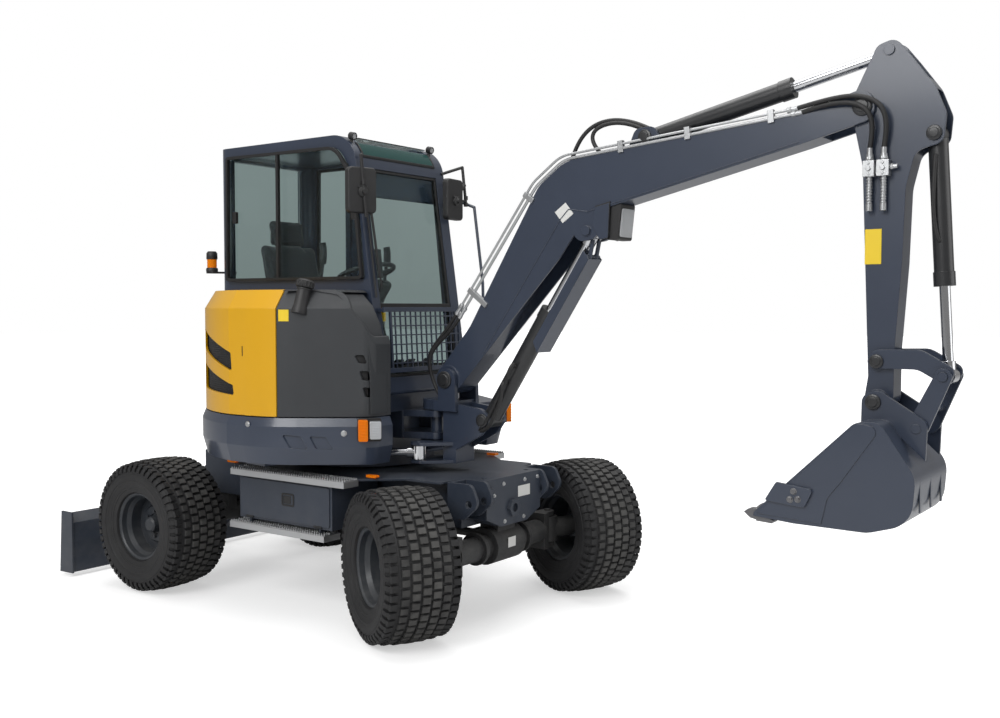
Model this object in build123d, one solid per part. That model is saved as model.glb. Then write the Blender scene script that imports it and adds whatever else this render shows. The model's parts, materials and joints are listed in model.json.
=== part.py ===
from build123d import *
import math
import os

# Wheeled excavator, built in millimetres. +X is forward (towards the boom), +Y the machine's left,
# +Z up. The origin lies on the ground, midway between the four wheels, on the slew axis.

os.makedirs("parts", exist_ok=True)

# ------------------------------------------------------------------ driving dimensions
# wheels and axles
TYRE_R = 393.5
AXLE_X = 992.0
WHEEL_Y = 731.0
STEER_RIGHT = -28.3
STEER_LEFT = -23.0
KINGPIN_INSET = 230.0
STEER_ARM = 150.0

# chassis
FRAME_HALF = 285.0
FRAME_TOP = 780.0
FRAME_BOTTOM = 515.0
FRAME_REAR = -1130.0
FRAME_FRONT = 960.0
CROSS_FRONT = 1105.0
LASHING_HOLE = (1045.0, 200.0, 16.0)
PLATE = 12.0
STEP_Y = 725.0

# house
HOUSE_BOTTOM = 860.0
SKIRT_TOP = 1110.0
HOOD_TOP = 1790.0
TAIL_R = 945.0
SKIRT_WALL = 105.0
SKIRT_BEVELS = ((19.0, 45.0), (25.0, 95.0))
HOOD_INSET = 20.0
SHOULDER = (60.0, 100.0)
INNER_SHOULDER = (53.9, 89.9)
HOOD_SPLIT_X = 180.0
HOOD_LEFT_X = -520.0
HOOD_HINGE = (-505.0, 735.0)
DOOR_HINGE = (-398.0, 363.0)
SHEET = 14.0

# cab
CAB_RIGHT = -420.0
CAB_LEFT = 345.0
CAB_REAR = -815.0
CAB_FLOOR = 1212.0
CAB_STEP = 1480.0
CAB_STEP_X = -200.0
CAB_ROOF = 2655.0
CAB_WALL = 40.0
CAB_CORNER = 80.0
PILLAR_FOOT = 525.0
PILLAR_TOP = 313.0

# digging gear, in the vertical plane y = BOOM_Y
BOOM_Y = -50.0
BOOM_HALF = 78.0
SWING_AXIS = (605.0, BOOM_Y)
SWING_EYE = (605.0, -213.0)
SWING_BASE = (-20.0, -660.0)
SWING_Z = 890.0
POST_TOP = 1180.0
BOOM_FOOT = (745.0, 1296.0)
BOOM_CYL_BASE = (985.0, 1082.0)
BOOM_CYL_EYE = (1636.0, 2081.0)
ARM_CYL_BASE = (1958.0, 2521.0)
ARM_PIVOT = (3006.0, 2554.0)
ARM_CYL_EYE = (3109.0, 2782.0)
BUCKET_CYL_BASE = (3297.0, 2417.0)
ROCKER_PIVOT = (3084.0, 1465.0)
ROCKER_EYE = (3359.0, 1410.0)
BUCKET_PIVOT = (3085.0, 1294.0)
LINK_PIN = (3262.0, 1190.0)
BUCKET_HALF = 260.0

# blade
BLADE_PIVOT = (-1210.0, 560.0)
BLADE_HALF = 925.0
BLADE_X = -1640.0
BLADE_CYL_BASE = (-1190.0, 700.0)
BLADE_CYL_EYE = (-1580.0, 245.0)


# ------------------------------------------------------------------ helpers
def box(x0, x1, y0, y1, z0, z1):
    """A box between two corners."""
    centre = Pos((x0 + x1) / 2, (y0 + y1) / 2, (z0 + z1) / 2)
    return centre * Box(abs(x1 - x0), abs(y1 - y0), abs(z1 - z0))


def outline(corners):
    """A closed wire from (u, v) or (u, v, radius) corners, with real corner arcs."""
    edges, starts, ends, mids = [], [], [], []
    count = len(corners)
    for i, corner in enumerate(corners):
        here = Vector(corner[0], corner[1])
        before = Vector(*corners[i - 1][:2])
        after = Vector(*corners[(i + 1) % count][:2])
        radius = corner[2] if len(corner) > 2 else 0
        if radius <= 0:
            starts.append(here)
            ends.append(here)
            mids.append(None)
            continue
        to_before, to_after = (before - here).normalized(), (after - here).normalized()
        half = math.acos(max(-1, min(1, to_before.dot(to_after)))) / 2
        cut = min(radius / math.tan(half), 0.48 * (before - here).length, 0.48 * (after - here).length)
        radius = cut * math.tan(half)
        bisector = (to_before + to_after).normalized()
        centre = here + bisector * (radius / math.sin(half))
        starts.append(here + to_before * cut)
        ends.append(here + to_after * cut)
        mids.append(centre - bisector * radius)
    for i in range(count):
        if mids[i] is not None:
            edges.append(ThreePointArc(starts[i], mids[i], ends[i]))
        nxt = (i + 1) % count
        if (starts[nxt] - ends[i]).length > 1e-6:
            edges.append(Line(ends[i], starts[nxt]))
    return Wire(edges)


def side_plate(corners, y0, y1):
    """An outline in the x-z plane, made solid from y0 to y1."""
    face = Plane((0, y1, 0), x_dir=(1, 0, 0), z_dir=(0, -1, 0)) * Face(outline(corners))
    return extrude(face, amount=y1 - y0, dir=(0, -1, 0))


def floor_plate(corners, z0, z1):
    """An outline in the x-y plane, made solid from z0 to z1."""
    return extrude(Pos(0, 0, z0) * Face(outline(corners)), amount=z1 - z0, dir=(0, 0, 1))


def cross_plate(corners, x0, x1):
    """An outline in the y-z plane, made solid from x0 to x1."""
    face = Plane((x0, 0, 0), x_dir=(0, 1, 0), z_dir=(1, 0, 0)) * Face(outline(corners))
    return extrude(face, amount=x1 - x0, dir=(1, 0, 0))


def rod(start, end, radius):
    """A round bar between two points."""
    a, b = Vector(*start), Vector(*end)
    plane = Plane(a, z_dir=(b - a))
    return extrude(plane * Circle(radius), amount=(b - a).length)


def tube(start, end, outer, inner):
    """A round tube between two points."""
    return rod(start, end, outer) - rod(start, end, inner)


def pin_y(point, radius, y0, y1):
    """A round bar along y through the point (x, z)."""
    return rod((point[0], y0, point[1]), (point[0], y1, point[1]), radius)


def ring_y(point, outer, inner, y0, y1):
    """A round tube along y round the point (x, z)."""
    return pin_y(point, outer, y0, y1) - pin_y(point, inner, y0, y1)


def spun(profile, centre):
    """(axial, radius) points spun round the wheel's own axis, which lies along y."""
    face = Face(Polyline([(r, a) for a, r in profile], close=True))
    solid = revolve(face, Axis.Y, 360)
    return Pos(*centre) * solid


def group(pieces):
    """Separate solids that share one node."""
    solids = []
    for piece in pieces:
        solids += list(piece.solids())
    return Compound(children=[Solid(s.wrapped) for s in solids])


def along(start, end, distance):
    """The point (x, z) at a distance from start towards end."""
    length = math.dist(start, end)
    return tuple(a + (b - a) * distance / length for a, b in zip(start, end))


def turned(piece, angle, centre):
    """A piece turned about the vertical line through centre (x, y)."""
    return Pos(centre[0], centre[1], 0) * Rot(0, 0, angle) * Pos(-centre[0], -centre[1], 0) * piece


def save(part, name):
    export_step(part, f"parts/{name}.step")


PISTON = 30.0
GLAND = 62.0


def hydraulic(base, eye, reach, travel_out, size, y=BOOM_Y):
    """Barrel and rod of a cylinder that lies in an x-z plane.

    base, eye: pins (x, z); reach: barrel length from the base pin;
    travel_out: how far the rod still comes out from here, which places the piston;
    size: barrel radius, rod radius, eye radius, pin radius, half width of the eyes.
    """
    r_barrel, r_rod, r_eye, r_pin, half = size
    b3 = (base[0], y, base[1])

    def at(distance):
        x, z = along(base, eye, distance)
        return (x, y, z)
    length = math.dist(base, eye)
    bore = r_barrel - 7
    barrel = rod(at(r_eye * 0.6), at(reach), r_barrel)
    barrel += rod(at(reach - 60), at(reach), r_barrel + 4)
    barrel += pin_y(base, r_eye, y - half, y + half)
    barrel -= rod(at(r_eye + 15), at(reach - GLAND), bore)
    barrel -= rod(at(reach - GLAND - 8), at(reach + 1), r_rod + 0.4)
    barrel -= pin_y(base, r_pin + 0.3, y - half - 1, y + half + 1)
    front = reach - GLAND - travel_out - 6
    piston = rod(at(front - PISTON), at(front), bore - 0.4)
    stem = rod(at(front - PISTON / 2), at(length - r_eye * 0.6), r_rod)
    head = pin_y(eye, r_eye, y - half, y + half)
    neck = rod(at(length - r_eye * 1.7), at(length - r_eye * 0.5), r_rod * 1.35)
    rod_part = piston + stem + neck + head
    return barrel, rod_part


# ------------------------------------------------------------------ wheels
TYRE_PROFILE = [
    (0.0, 393.5), (90.0, 392.5), (140.0, 387.0), (170.0, 374.0), (188.0, 352.0), (197.0, 315.0),
    (197.0, 285.0), (190.0, 250.0), (178.0, 215.0), (172.0, 206.0), (162.0, 203.0), (147.0, 203.0), (147.0, 192.5),
    (123.0, 190.5), (135.0, 215.0), (164.0, 260.0), (170.0, 300.0), (160.0, 345.0), (135.0, 362.0),
    (90.0, 368.0), (0.0, 369.0),
]
RIM_PROFILE = [
    (-160.0, 199.0), (-150.0, 200.0), (-150.0, 190.0), (-120.0, 187.0), (-95.0, 172.0),
    (95.0, 172.0), (120.0, 187.0), (150.0, 190.0), (150.0, 200.0), (160.0, 199.0),
    (160.0, 191.0), (152.0, 183.0), (122.0, 180.0), (97.0, 165.0), (-97.0, 165.0),
    (-122.0, 180.0), (-152.0, 183.0), (-160.0, 191.0),
]


def tyre(centre):
    half = [(a, r) for a, r in TYRE_PROFILE]
    left = [(-a, r) for a, r in reversed(TYRE_PROFILE) if a > 0]
    return spun(half[:-1] + [half[-1]] + left, centre)


def rim(centre, side):
    """Rim well, disc and hub; side is -1 on the right and +1 on the left."""
    well = spun(RIM_PROFILE, (0, 0, 0))
    disc = [(-30.0, 168.0), (-30.0, 120.0), (-45.0, 105.0), (-45.0, 62.0), (-37.0, 62.0),
            (-37.0, 101.0), (-22.0, 116.0), (-22.0, 168.0)]
    well += spun([(side * -a, r) for a, r in disc], (0, 0, 0))
    hub = [(30.0, 0.1), (95.0, 0.1), (95.0, 34.0), (86.0, 46.0), (37.0, 52.0), (37.0, 88.0), (20.0, 88.0),
           (20.0, 70.0), (-60.0, 70.0), (-60.0, 40.0), (30.0, 40.0)]
    face = Face(Polyline([(r, side * a) for a, r in hub], close=True))
    well += revolve(face, Axis.Y, 360)
    for i in range(6):
        a = math.radians(60 * i + 30)
        spot = (76 * math.cos(a), 76 * math.sin(a))
        well += rod((spot[0], side * 36, spot[1]), (spot[0], side * 62, spot[1]), 9)
    return Pos(*centre) * well


WHEELS = {
    "front_right": (AXLE_X, -WHEEL_Y, STEER_RIGHT),
    "front_left": (AXLE_X, WHEEL_Y, STEER_LEFT),
    "rear_right": (-AXLE_X, -WHEEL_Y, 0.0),
    "rear_left": (-AXLE_X, WHEEL_Y, 0.0),
}
for name, (x, y, steer) in WHEELS.items():
    side = -1 if y < 0 else 1
    save(turned(tyre((x, y, TYRE_R)), steer, (x, y - side * KINGPIN_INSET)), f"tyre_{name}")
    save(turned(rim((x, y, TYRE_R), side), steer, (x, y - side * KINGPIN_INSET)), f"rim_{name}")

# ------------------------------------------------------------------ axles and steering
KING_Y = WHEEL_Y - KINGPIN_INSET
CYL_X = AXLE_X - STEER_ARM
CYL_Z = TYRE_R - 44
CYL_ROD_END = 300.0


def ball(side, steer):
    """The steering arm's ball (x, y) when its wheel is turned by steer."""
    a = math.radians(steer)
    return (AXLE_X - STEER_ARM * math.cos(a), side * KING_Y - STEER_ARM * math.sin(a))


RACK_SHIFT = (ball(-1, STEER_RIGHT)[1] + ball(1, STEER_LEFT)[1]) / 2


def front_axle():
    beam = rod((AXLE_X, -405, TYRE_R), (AXLE_X, 405, TYRE_R), 66)
    beam += rod((AXLE_X, -130, TYRE_R), (AXLE_X, 130, TYRE_R), 100)
    beam += box(AXLE_X - 112, AXLE_X, -95, 95, TYRE_R - 80, TYRE_R + 80)
    for y in (-205, 205):
        beam += rod((AXLE_X, y - 12, TYRE_R), (AXLE_X, y + 12, TYRE_R), 88)
    beam += box(AXLE_X - 60, AXLE_X + 60, -80, 80, TYRE_R + 60, FRAME_BOTTOM)
    for side in (-1, 1):
        king = (AXLE_X, side * KING_Y)
        for z0 in (TYRE_R - 104, TYRE_R + 76):
            beam += box(AXLE_X - 42, AXLE_X + 42, side * 390, side * KING_Y, z0, z0 + 28)
            beam += rod((*king, z0), (*king, z0 + 28), 42)
        beam += box(AXLE_X - 56, AXLE_X + 56, side * 390, side * 430, TYRE_R - 104, TYRE_R + 104)
        beam += rod((*king, TYRE_R - 112), (*king, TYRE_R - 64), 18)
        beam += rod((*king, TYRE_R + 64), (*king, TYRE_R + 112), 18)
    return beam


def knuckle(side):
    king = (AXLE_X, side * KING_Y)
    y_out = side * (WHEEL_Y - 66)
    body = rod((*king, TYRE_R - 72), (*king, TYRE_R + 72), 60)
    body += rod((*king, TYRE_R), (AXLE_X, y_out, TYRE_R), 58)
    body += rod((AXLE_X, y_out, TYRE_R), (AXLE_X, side * (WHEEL_Y + 20), TYRE_R), 36)
    for z0, z1 in ((TYRE_R - 73, TYRE_R - 60), (TYRE_R + 60, TYRE_R + 73)):
        body -= rod((*king, z0), (*king, z1), 18.4)
    body += box(AXLE_X - STEER_ARM, AXLE_X - 40, king[1] - 20, king[1] + 20, TYRE_R - 16, TYRE_R + 16)
    body += rod((AXLE_X - STEER_ARM, king[1], TYRE_R - 16), (AXLE_X - STEER_ARM, king[1], TYRE_R + 16), 26)
    return turned(body, STEER_RIGHT if side < 0 else STEER_LEFT, king)


def steering_cylinder():
    body = tube((CYL_X, -170, CYL_Z), (CYL_X, 170, CYL_Z), 36, 29)
    for side in (-1, 1):
        body += tube((CYL_X, side * 150, CYL_Z), (CYL_X, side * 178, CYL_Z), 36, 16.4)
    for y in (-80, 80):
        body += box(CYL_X + 25, AXLE_X - 112, y - 14, y + 14, CYL_Z - 30, CYL_Z + 30)
    return body - rod((CYL_X, -149, CYL_Z), (CYL_X, 149, CYL_Z), 29)


def steering_rod():
    """A through rod with its piston and a fork at each end."""
    end = CYL_ROD_END
    body = rod((CYL_X, RACK_SHIFT - end + 30, CYL_Z), (CYL_X, RACK_SHIFT + end - 30, CYL_Z), 16)
    body += rod((CYL_X, RACK_SHIFT - 12, CYL_Z), (CYL_X, RACK_SHIFT + 12, CYL_Z), 28.6)
    for side in (-1, 1):
        y = RACK_SHIFT + side * end
        fork = box(CYL_X - 19, CYL_X + 19, y - side * 45, y + side * 4, CYL_Z - 25, CYL_Z + 25)
        fork += rod((CYL_X, y, CYL_Z - 25), (CYL_X, y, CYL_Z + 25), 20)
        fork -= box(CYL_X - 30, CYL_X + 30, y - side * 25, y + side * 30, CYL_Z - 14, CYL_Z + 14)
        body += fork
        body += rod((CYL_X, y, CYL_Z - 28), (CYL_X, y, CYL_Z + 28), 9)
    return body


def tie_rod(side):
    steer = STEER_RIGHT if side < 0 else STEER_LEFT
    inner = (CYL_X, RACK_SHIFT + side * CYL_ROD_END, CYL_Z)
    outer = (*ball(side, steer), CYL_Z)
    body = rod(inner, outer, 11)
    body += rod((*inner[:2], CYL_Z - 12), (*inner[:2], CYL_Z + 12), 18)
    body += rod((*outer[:2], CYL_Z - 18), (*outer[:2], CYL_Z + 22), 22)
    return body - rod((*inner[:2], CYL_Z - 30), (*inner[:2], CYL_Z + 30), 9.3)


def rear_axle():
    beam = rod((-AXLE_X, -(WHEEL_Y - 66), TYRE_R), (-AXLE_X, WHEEL_Y - 66, TYRE_R), 62)
    beam += rod((-AXLE_X, -(WHEEL_Y + 20), TYRE_R), (-AXLE_X, WHEEL_Y + 20, TYRE_R), 36)
    beam += rod((-AXLE_X, -130, TYRE_R), (-AXLE_X, 130, TYRE_R), 100)
    beam += box(-AXLE_X, -AXLE_X + 230, -110, 110, TYRE_R - 80, TYRE_R + 95)
    for side in (-1, 1):
        beam += box(-AXLE_X - 60, -AXLE_X + 60, side * 200, side * 270, TYRE_R, FRAME_BOTTOM)
        beam += rod((-AXLE_X, side * 560, TYRE_R), (-AXLE_X, side * 590, TYRE_R), 100)
    return beam


save(front_axle(), "front_axle")
save(rear_axle(), "rear_axle")
for side, name in ((-1, "right"), (1, "left")):
    save(knuckle(side), f"knuckle_{name}")
    save(tie_rod(side), f"tie_rod_{name}")
save(steering_cylinder(), "steering_cylinder")
save(steering_rod(), "steering_rod")
save(rod((-AXLE_X + 230, 0, TYRE_R + 36), (AXLE_X - 112, 0, TYRE_R + 36), 24), "drive_shaft")


# ------------------------------------------------------------------ chassis
def chassis_frame():
    frame = box(FRAME_REAR, FRAME_FRONT, -FRAME_HALF, FRAME_HALF, FRAME_BOTTOM, FRAME_TOP - PLATE)
    frame -= box(FRAME_REAR + PLATE, FRAME_FRONT - PLATE, -FRAME_HALF + PLATE, FRAME_HALF - PLATE,
                 FRAME_BOTTOM + PLATE, FRAME_TOP)
    deck = [(FRAME_REAR, -FRAME_HALF), (-640, -FRAME_HALF), (-480, -610, 40), (500, -610, 40), (700, -440),
            (FRAME_FRONT - 30, -440, 40), (FRAME_FRONT, -FRAME_HALF), (FRAME_FRONT, FRAME_HALF),
            (FRAME_FRONT - 30, 440, 40), (700, 440), (500, 610, 40), (-480, 610, 40), (-640, FRAME_HALF),
            (FRAME_REAR, FRAME_HALF)]
    frame += floor_plate(deck, FRAME_TOP - PLATE, FRAME_TOP)
    frame += tube((0, 0, FRAME_TOP - 2), (0, 0, FRAME_TOP + 62), 330, 262)
    frame -= rod((0, 0, FRAME_TOP - PLATE - 5), (0, 0, FRAME_TOP + 5), 255)
    for side in (-1, 1):
        y0, y1 = sorted((side * 232, side * 256))
        bracket = [(BLADE_PIVOT[0] - 45, 505, 40), (BLADE_PIVOT[0] - 45, 610, 40), (FRAME_REAR + 4, 700),
                   (FRAME_REAR + 4, 505)]
        frame += side_plate(bracket, y0, y1)
        frame += pin_y(BLADE_PIVOT, 22, *sorted((side * 225, side * 300)))
        y0, y1 = sorted((side * 43, side * 59))
        ear = [(BLADE_CYL_BASE[0] - 40, BLADE_CYL_BASE[1] - 40, 36), (BLADE_CYL_BASE[0] - 40, BLADE_CYL_BASE[1] + 40, 36),
               (FRAME_REAR + 4, 765), (FRAME_REAR + 4, 620)]
        frame += side_plate(ear, y0, y1)
    frame += pin_y(BLADE_CYL_BASE, 17.7, -62, 62)
    return frame


def front_crossmember():
    corners = [(-255, FRAME_TOP), (-255, 570), (-120, FRAME_BOTTOM), (120, FRAME_BOTTOM), (255, 570),
               (255, FRAME_TOP)]
    hollow = [(-243, FRAME_TOP - PLATE), (-243, 578), (-117, 527), (117, 527), (243, 578), (243, FRAME_TOP - PLATE)]
    body = cross_plate(corners, FRAME_FRONT, CROSS_FRONT)
    body -= cross_plate(hollow, FRAME_FRONT + PLATE, CROSS_FRONT - PLATE)
    for side in (-1, 1):
        for inner in (255, 385):
            y0, y1 = sorted((side * inner, side * (inner + 20)))
            ear = side_plate([(FRAME_FRONT, 590), (1065, 590, 60), (1165, 675, 55), (1115, FRAME_TOP, 40),
                              (FRAME_FRONT, FRAME_TOP)], y0, y1)
            body += ear - pin_y((1100, 675), 20, -500, 500)
        body += box(FRAME_FRONT, FRAME_FRONT + 25, side * 255, side * 405, 600, FRAME_TOP)
        spot = (LASHING_HOLE[0], side * LASHING_HOLE[1])
        body -= rod((*spot, FRAME_TOP - PLATE - 5), (*spot, FRAME_TOP + 5), LASHING_HOLE[2])
    body += cross_plate([(-262, 655, 12), (-262, 738, 12), (-190, 738, 38), (-190, 655, 38)], CROSS_FRONT - 1, CROSS_FRONT + 14)
    tie = Plane((CROSS_FRONT - 1, -13, 605), x_dir=(0, 1, 0), z_dir=(1, 0, 0)) * RegularPolygon(52, 6)
    body += extrude(tie, amount=19) - rod((CROSS_FRONT, -13, 605), (CROSS_FRONT + 30, -13, 605), 24)
    return body


def side_steps():
    """Channels with a closed top, two on each side."""
    pieces = []
    for side in (-1, 1):
        for x0, x1, y_in, top in ((-370, 520, 612, 778), (-380, 372, 600, 474)):
            tread = box(x0, x1, side * y_in, side * STEP_Y, top - 34, top)
            tread -= box(x0 + 4, x1 - 4, side * (y_in + 4), side * (STEP_Y - 4), top - 40, top - 4)
            pieces.append(tread)
    return group(pieces)


def side_boxes():
    pieces = []
    for side in (-1, 1):
        shell = box(-330, 400, side * 330, side * 690, 500, 742)
        shell -= box(-325, 395, side * 335, side * 685, 505, 737)
        for x in (-250, 300):
            shell += box(x, x + 30, side * FRAME_HALF, side * 332, 560, 720)
            shell += box(x, x + 12, side * 640, side * 689, 474, 501)
            shell += box(x, x + 30, side * 640, side * 684, 741, 744)
        pieces.append(shell)
    return group(pieces)


save(chassis_frame(), "chassis_frame")
save(front_crossmember(), "front_crossmember")
save(side_steps(), "side_steps")
save(side_boxes(), "side_boxes")


# ------------------------------------------------------------------ blade
def blade():
    board = side_plate([(BLADE_X, 30), (BLADE_X - 45, 20), (BLADE_X - 22, 120), (BLADE_X - 15, 220),
                        (BLADE_X - 30, 330), (BLADE_X - 70, 395), (BLADE_X - 60, 400), (BLADE_X - 15, 340),
                        (BLADE_X, 220), (BLADE_X - 5, 120)], -BLADE_HALF + 10, BLADE_HALF - 10)
    for side in (-1, 1):
        cheek = [(BLADE_X + 5, 25), (BLADE_X - 130, 22), (BLADE_X - 105, 410), (BLADE_X + 5, 410)]
        board += side_plate(cheek, *sorted((side * BLADE_HALF, side * (BLADE_HALF - 12))))
        arm = [(BLADE_X - 12, 90), (BLADE_X - 5, 260), (BLADE_PIVOT[0] - 20, BLADE_PIVOT[1] + 50, 44),
               (BLADE_PIVOT[0] + 46, BLADE_PIVOT[1] + 20, 40), (BLADE_PIVOT[0] + 20, BLADE_PIVOT[1] - 50, 44)]
        plate = side_plate(arm, *sorted((side * 262, side * 294)))
        board += plate - pin_y(BLADE_PIVOT, 22.3, -400, 400)
        ear = [(BLADE_X - 10, 180), (BLADE_CYL_EYE[0] + 30, 205, 30), (BLADE_CYL_EYE[0] + 32, 290, 30),
               (BLADE_X - 10, 330)]
        board += side_plate(ear, *sorted((side * 52, side * 66)))
        board += pin_y(BLADE_CYL_EYE, 17, *sorted((side * 47, side * 70)))
    return board


save(blade(), "blade")
barrel, stem = hydraulic(BLADE_CYL_BASE, BLADE_CYL_EYE, 400, 14, (40, 22, 36, 17.7, 38), y=0)
save(barrel, "blade_barrel")
save(stem, "blade_rod")


# ------------------------------------------------------------------ house
def plan(inset, z0, z1):
    """The house's plan as a solid: a disc with its front corners drawn in."""
    side, front = TAIL_R - 12 - inset, 612 - inset
    disc = Pos(0, 0, z0) * Cylinder(TAIL_R - inset, z1 - z0, align=(Align.CENTER, Align.CENTER, Align.MIN))
    keep = floor_plate([(-1000, -side), (150, -side, 500), (front, -585, 90), (front, 585, 90),
                        (150, side, 500), (-1000, side)], z0, z1)
    return disc & keep


def shouldered(inset, z0, z1, bevel):
    """The plan as a solid whose top edge is bevelled by (inwards, downwards)."""
    body = plan(inset, z0, z1)
    top = body.faces().sort_by(Axis.Z)[-1]
    body = chamfer(body.edges().group_by(Axis.Z)[-1], length=bevel[0], length2=bevel[1], reference=top)
    return body


def house_base():
    base = plan(SKIRT_WALL + 4, HOUSE_BOTTOM, HOUSE_BOTTOM + 15)
    base -= floor_plate([(-110, -760), (-110, -520), (250, -300), (560, -100), (560, 100), (700, 100),
                         (700, -760)], HOUSE_BOTTOM - 5, HOUSE_BOTTOM + 20)
    base += rod((0, 0, HOUSE_BOTTOM), (0, 0, HOUSE_BOTTOM + 15), 425)
    base -= rod((0, 0, HOUSE_BOTTOM - 5), (0, 0, HOUSE_BOTTOM + 20), 120)
    for y in (BOOM_Y - 136, BOOM_Y + 120):
        web = [(-740, HOUSE_BOTTOM + 15), (-740, 930), (-420, 930), (-240, 1110), (460, 1110), (460, 957),
               (370, 957), (370, HOUSE_BOTTOM + 15)]
        base += side_plate(web, y, y + 16)
    base += box(358, 374, BOOM_Y - 120, BOOM_Y + 120, HOUSE_BOTTOM + 15, 1100)
    x, y = SWING_AXIS
    for z0, z1 in ((955, 992), (1080, 1116)):
        base += floor_plate([(330, y - 136), (440, y - 136, 60), (x - 20, y - 78, 60), (x + 62, y - 78, 60),
                             (x + 62, y + 78, 60), (x - 20, y + 78, 60), (440, y + 136, 60), (330, y + 136)], z0, z1)
    base -= rod((x, y, 900), (x, y, 1200), 35.3)
    base += tube((0, 0, FRAME_TOP + 10), (0, 0, HOUSE_BOTTOM + 2), 420, 336)
    base += box(-240, 455, CAB_RIGHT + 30, CAB_LEFT - 20, 1110, 1124)
    for y in (CAB_RIGHT + 50, CAB_LEFT - 60):
        for x in (-210, 400):
            base += rod((x, y, 1123), (x, y, CAB_FLOOR), 26)
        base += box(-720, -660, y - 30, y + 30, HOUSE_BOTTOM + 15, CAB_STEP)
    wall_y = CAB_LEFT - 20
    base += plan(30, SKIRT_TOP, SKIRT_TOP + 12) & box(HOOD_LEFT_X + 40, 800, wall_y, 1000, SKIRT_TOP, SKIRT_TOP + 12)
    base += side_plate([(HOOD_LEFT_X + 6, SKIRT_TOP + 2), (HOOD_LEFT_X + 6, CAB_STEP - 2), (CAB_STEP_X - 155, CAB_STEP - 2),
                        (CAB_STEP_X - 3, CAB_STEP - 155), (CAB_STEP_X - 3, CAB_FLOOR - 4), (455, CAB_FLOOR - 4),
                        (455, SKIRT_TOP + 2)], wall_y, wall_y + 12)
    base += box(443, 455, CAB_RIGHT + 30, wall_y + 12, SKIRT_TOP + 2, CAB_FLOOR - 4)
    edge_y, top_z = HOOD_HINGE[1] - 25, HOOD_TOP - SHEET - 6
    base += cross_plate([(CAB_LEFT + 4, SKIRT_TOP), (edge_y, SKIRT_TOP), (edge_y, top_z - 90), (edge_y - 60, top_z),
                         (CAB_LEFT + 4, top_z)], HOOD_LEFT_X + 6, HOOD_LEFT_X + 18)
    base += box(HOOD_LEFT_X + 6, HOOD_LEFT_X + 60, wall_y, HOOD_HINGE[1] - 25, SKIRT_TOP, SKIRT_TOP + 12)
    for z0, z1 in ((SWING_Z - 62, SWING_Z - 44), (SWING_Z + 44, SWING_Z + 62)):
        lug = floor_plate([(SWING_BASE[0] - 150, -780), (SWING_BASE[0] + 20, -800), (SWING_BASE[0] + 50, SWING_BASE[1], 45),
                           (SWING_BASE[0], SWING_BASE[1] + 55, 45), (SWING_BASE[0] - 150, -560)], z0, z1)
        base += lug
    base += box(SWING_BASE[0] - 150, SWING_BASE[0] - 135, -780, -560, SWING_Z - 62, SWING_Z + 62)
    base += rod((*SWING_BASE, SWING_Z - 66), (*SWING_BASE, SWING_Z + 66), 19.7)
    return base


SKIRT_RECESSES = [
    # top left, top right, bottom right, bottom left (x, z)
    [(216, 1025), (300, 1015), (334, 945), (252, 953)],
    [(336, 1015), (406, 1011), (439, 942), (363, 949)],
]


def counterweight():
    ring = shouldered(0, HOUSE_BOTTOM, SKIRT_TOP, SKIRT_BEVELS[0])
    under = ring.faces().sort_by(Axis.Z)[0]
    inward, upward = SKIRT_BEVELS[1]
    ring = chamfer(ring.edges().group_by(Axis.Z)[0], length=inward, length2=upward, reference=under)
    ring -= plan(SKIRT_WALL, HOUSE_BOTTOM - 1, SKIRT_TOP + 1)
    ring -= box(300, 800, -440, 440, 800, 1200)
    for corners in SKIRT_RECESSES:
        ring -= side_plate([(x, z, 8) for x, z in corners], -1000, -600) - plan(14, 800, 1200)
    return ring + rod((*HOOD_HINGE, SKIRT_TOP - 10), (*HOOD_HINGE, HOOD_TOP - 110), 8)


save(house_base(), "house_base")
skirt = counterweight()
save(skirt, "counterweight")


def cab_plan(gap, z0, z1):
    """The cab's plan as a solid, with round rear corners, grown by gap."""
    return floor_plate([(CAB_REAR - gap, CAB_RIGHT - gap, CAB_CORNER + gap), (900, CAB_RIGHT - gap),
                        (900, CAB_LEFT + gap), (CAB_REAR - gap, CAB_LEFT + gap, CAB_CORNER + gap)], z0, z1)


shroud = shouldered(HOOD_INSET, SKIRT_TOP + 6, HOOD_TOP, SHOULDER)
whole = shroud - shouldered(HOOD_INSET + SHEET, SKIRT_TOP, HOOD_TOP - SHEET, INNER_SHOULDER)
whole -= cab_plan(12, SKIRT_TOP, HOOD_TOP + 10)
HOOD_VENTS = [
    # rear top, front top, front bottom, rear bottom (x, z)
    [(-560, 1581), (-136, 1451), (-127, 1351), (-560, 1467)],
    [(-560, 1388), (-120, 1275), (-112, 1221), (-560, 1239)],
]
LOCK_SLOT = (-45, -37, 1434, 1488)
PANEL_VENTS = [
    [(518, 1444), (560, 1444), (574, 1396), (536, 1402)],
    [(540, 1360), (577, 1359), (582, 1306), (551, 1312)],
    [(552, 1275), (583, 1269), (585, 1215), (563, 1222)],
]
HOOD_GAP = 35.0


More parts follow.
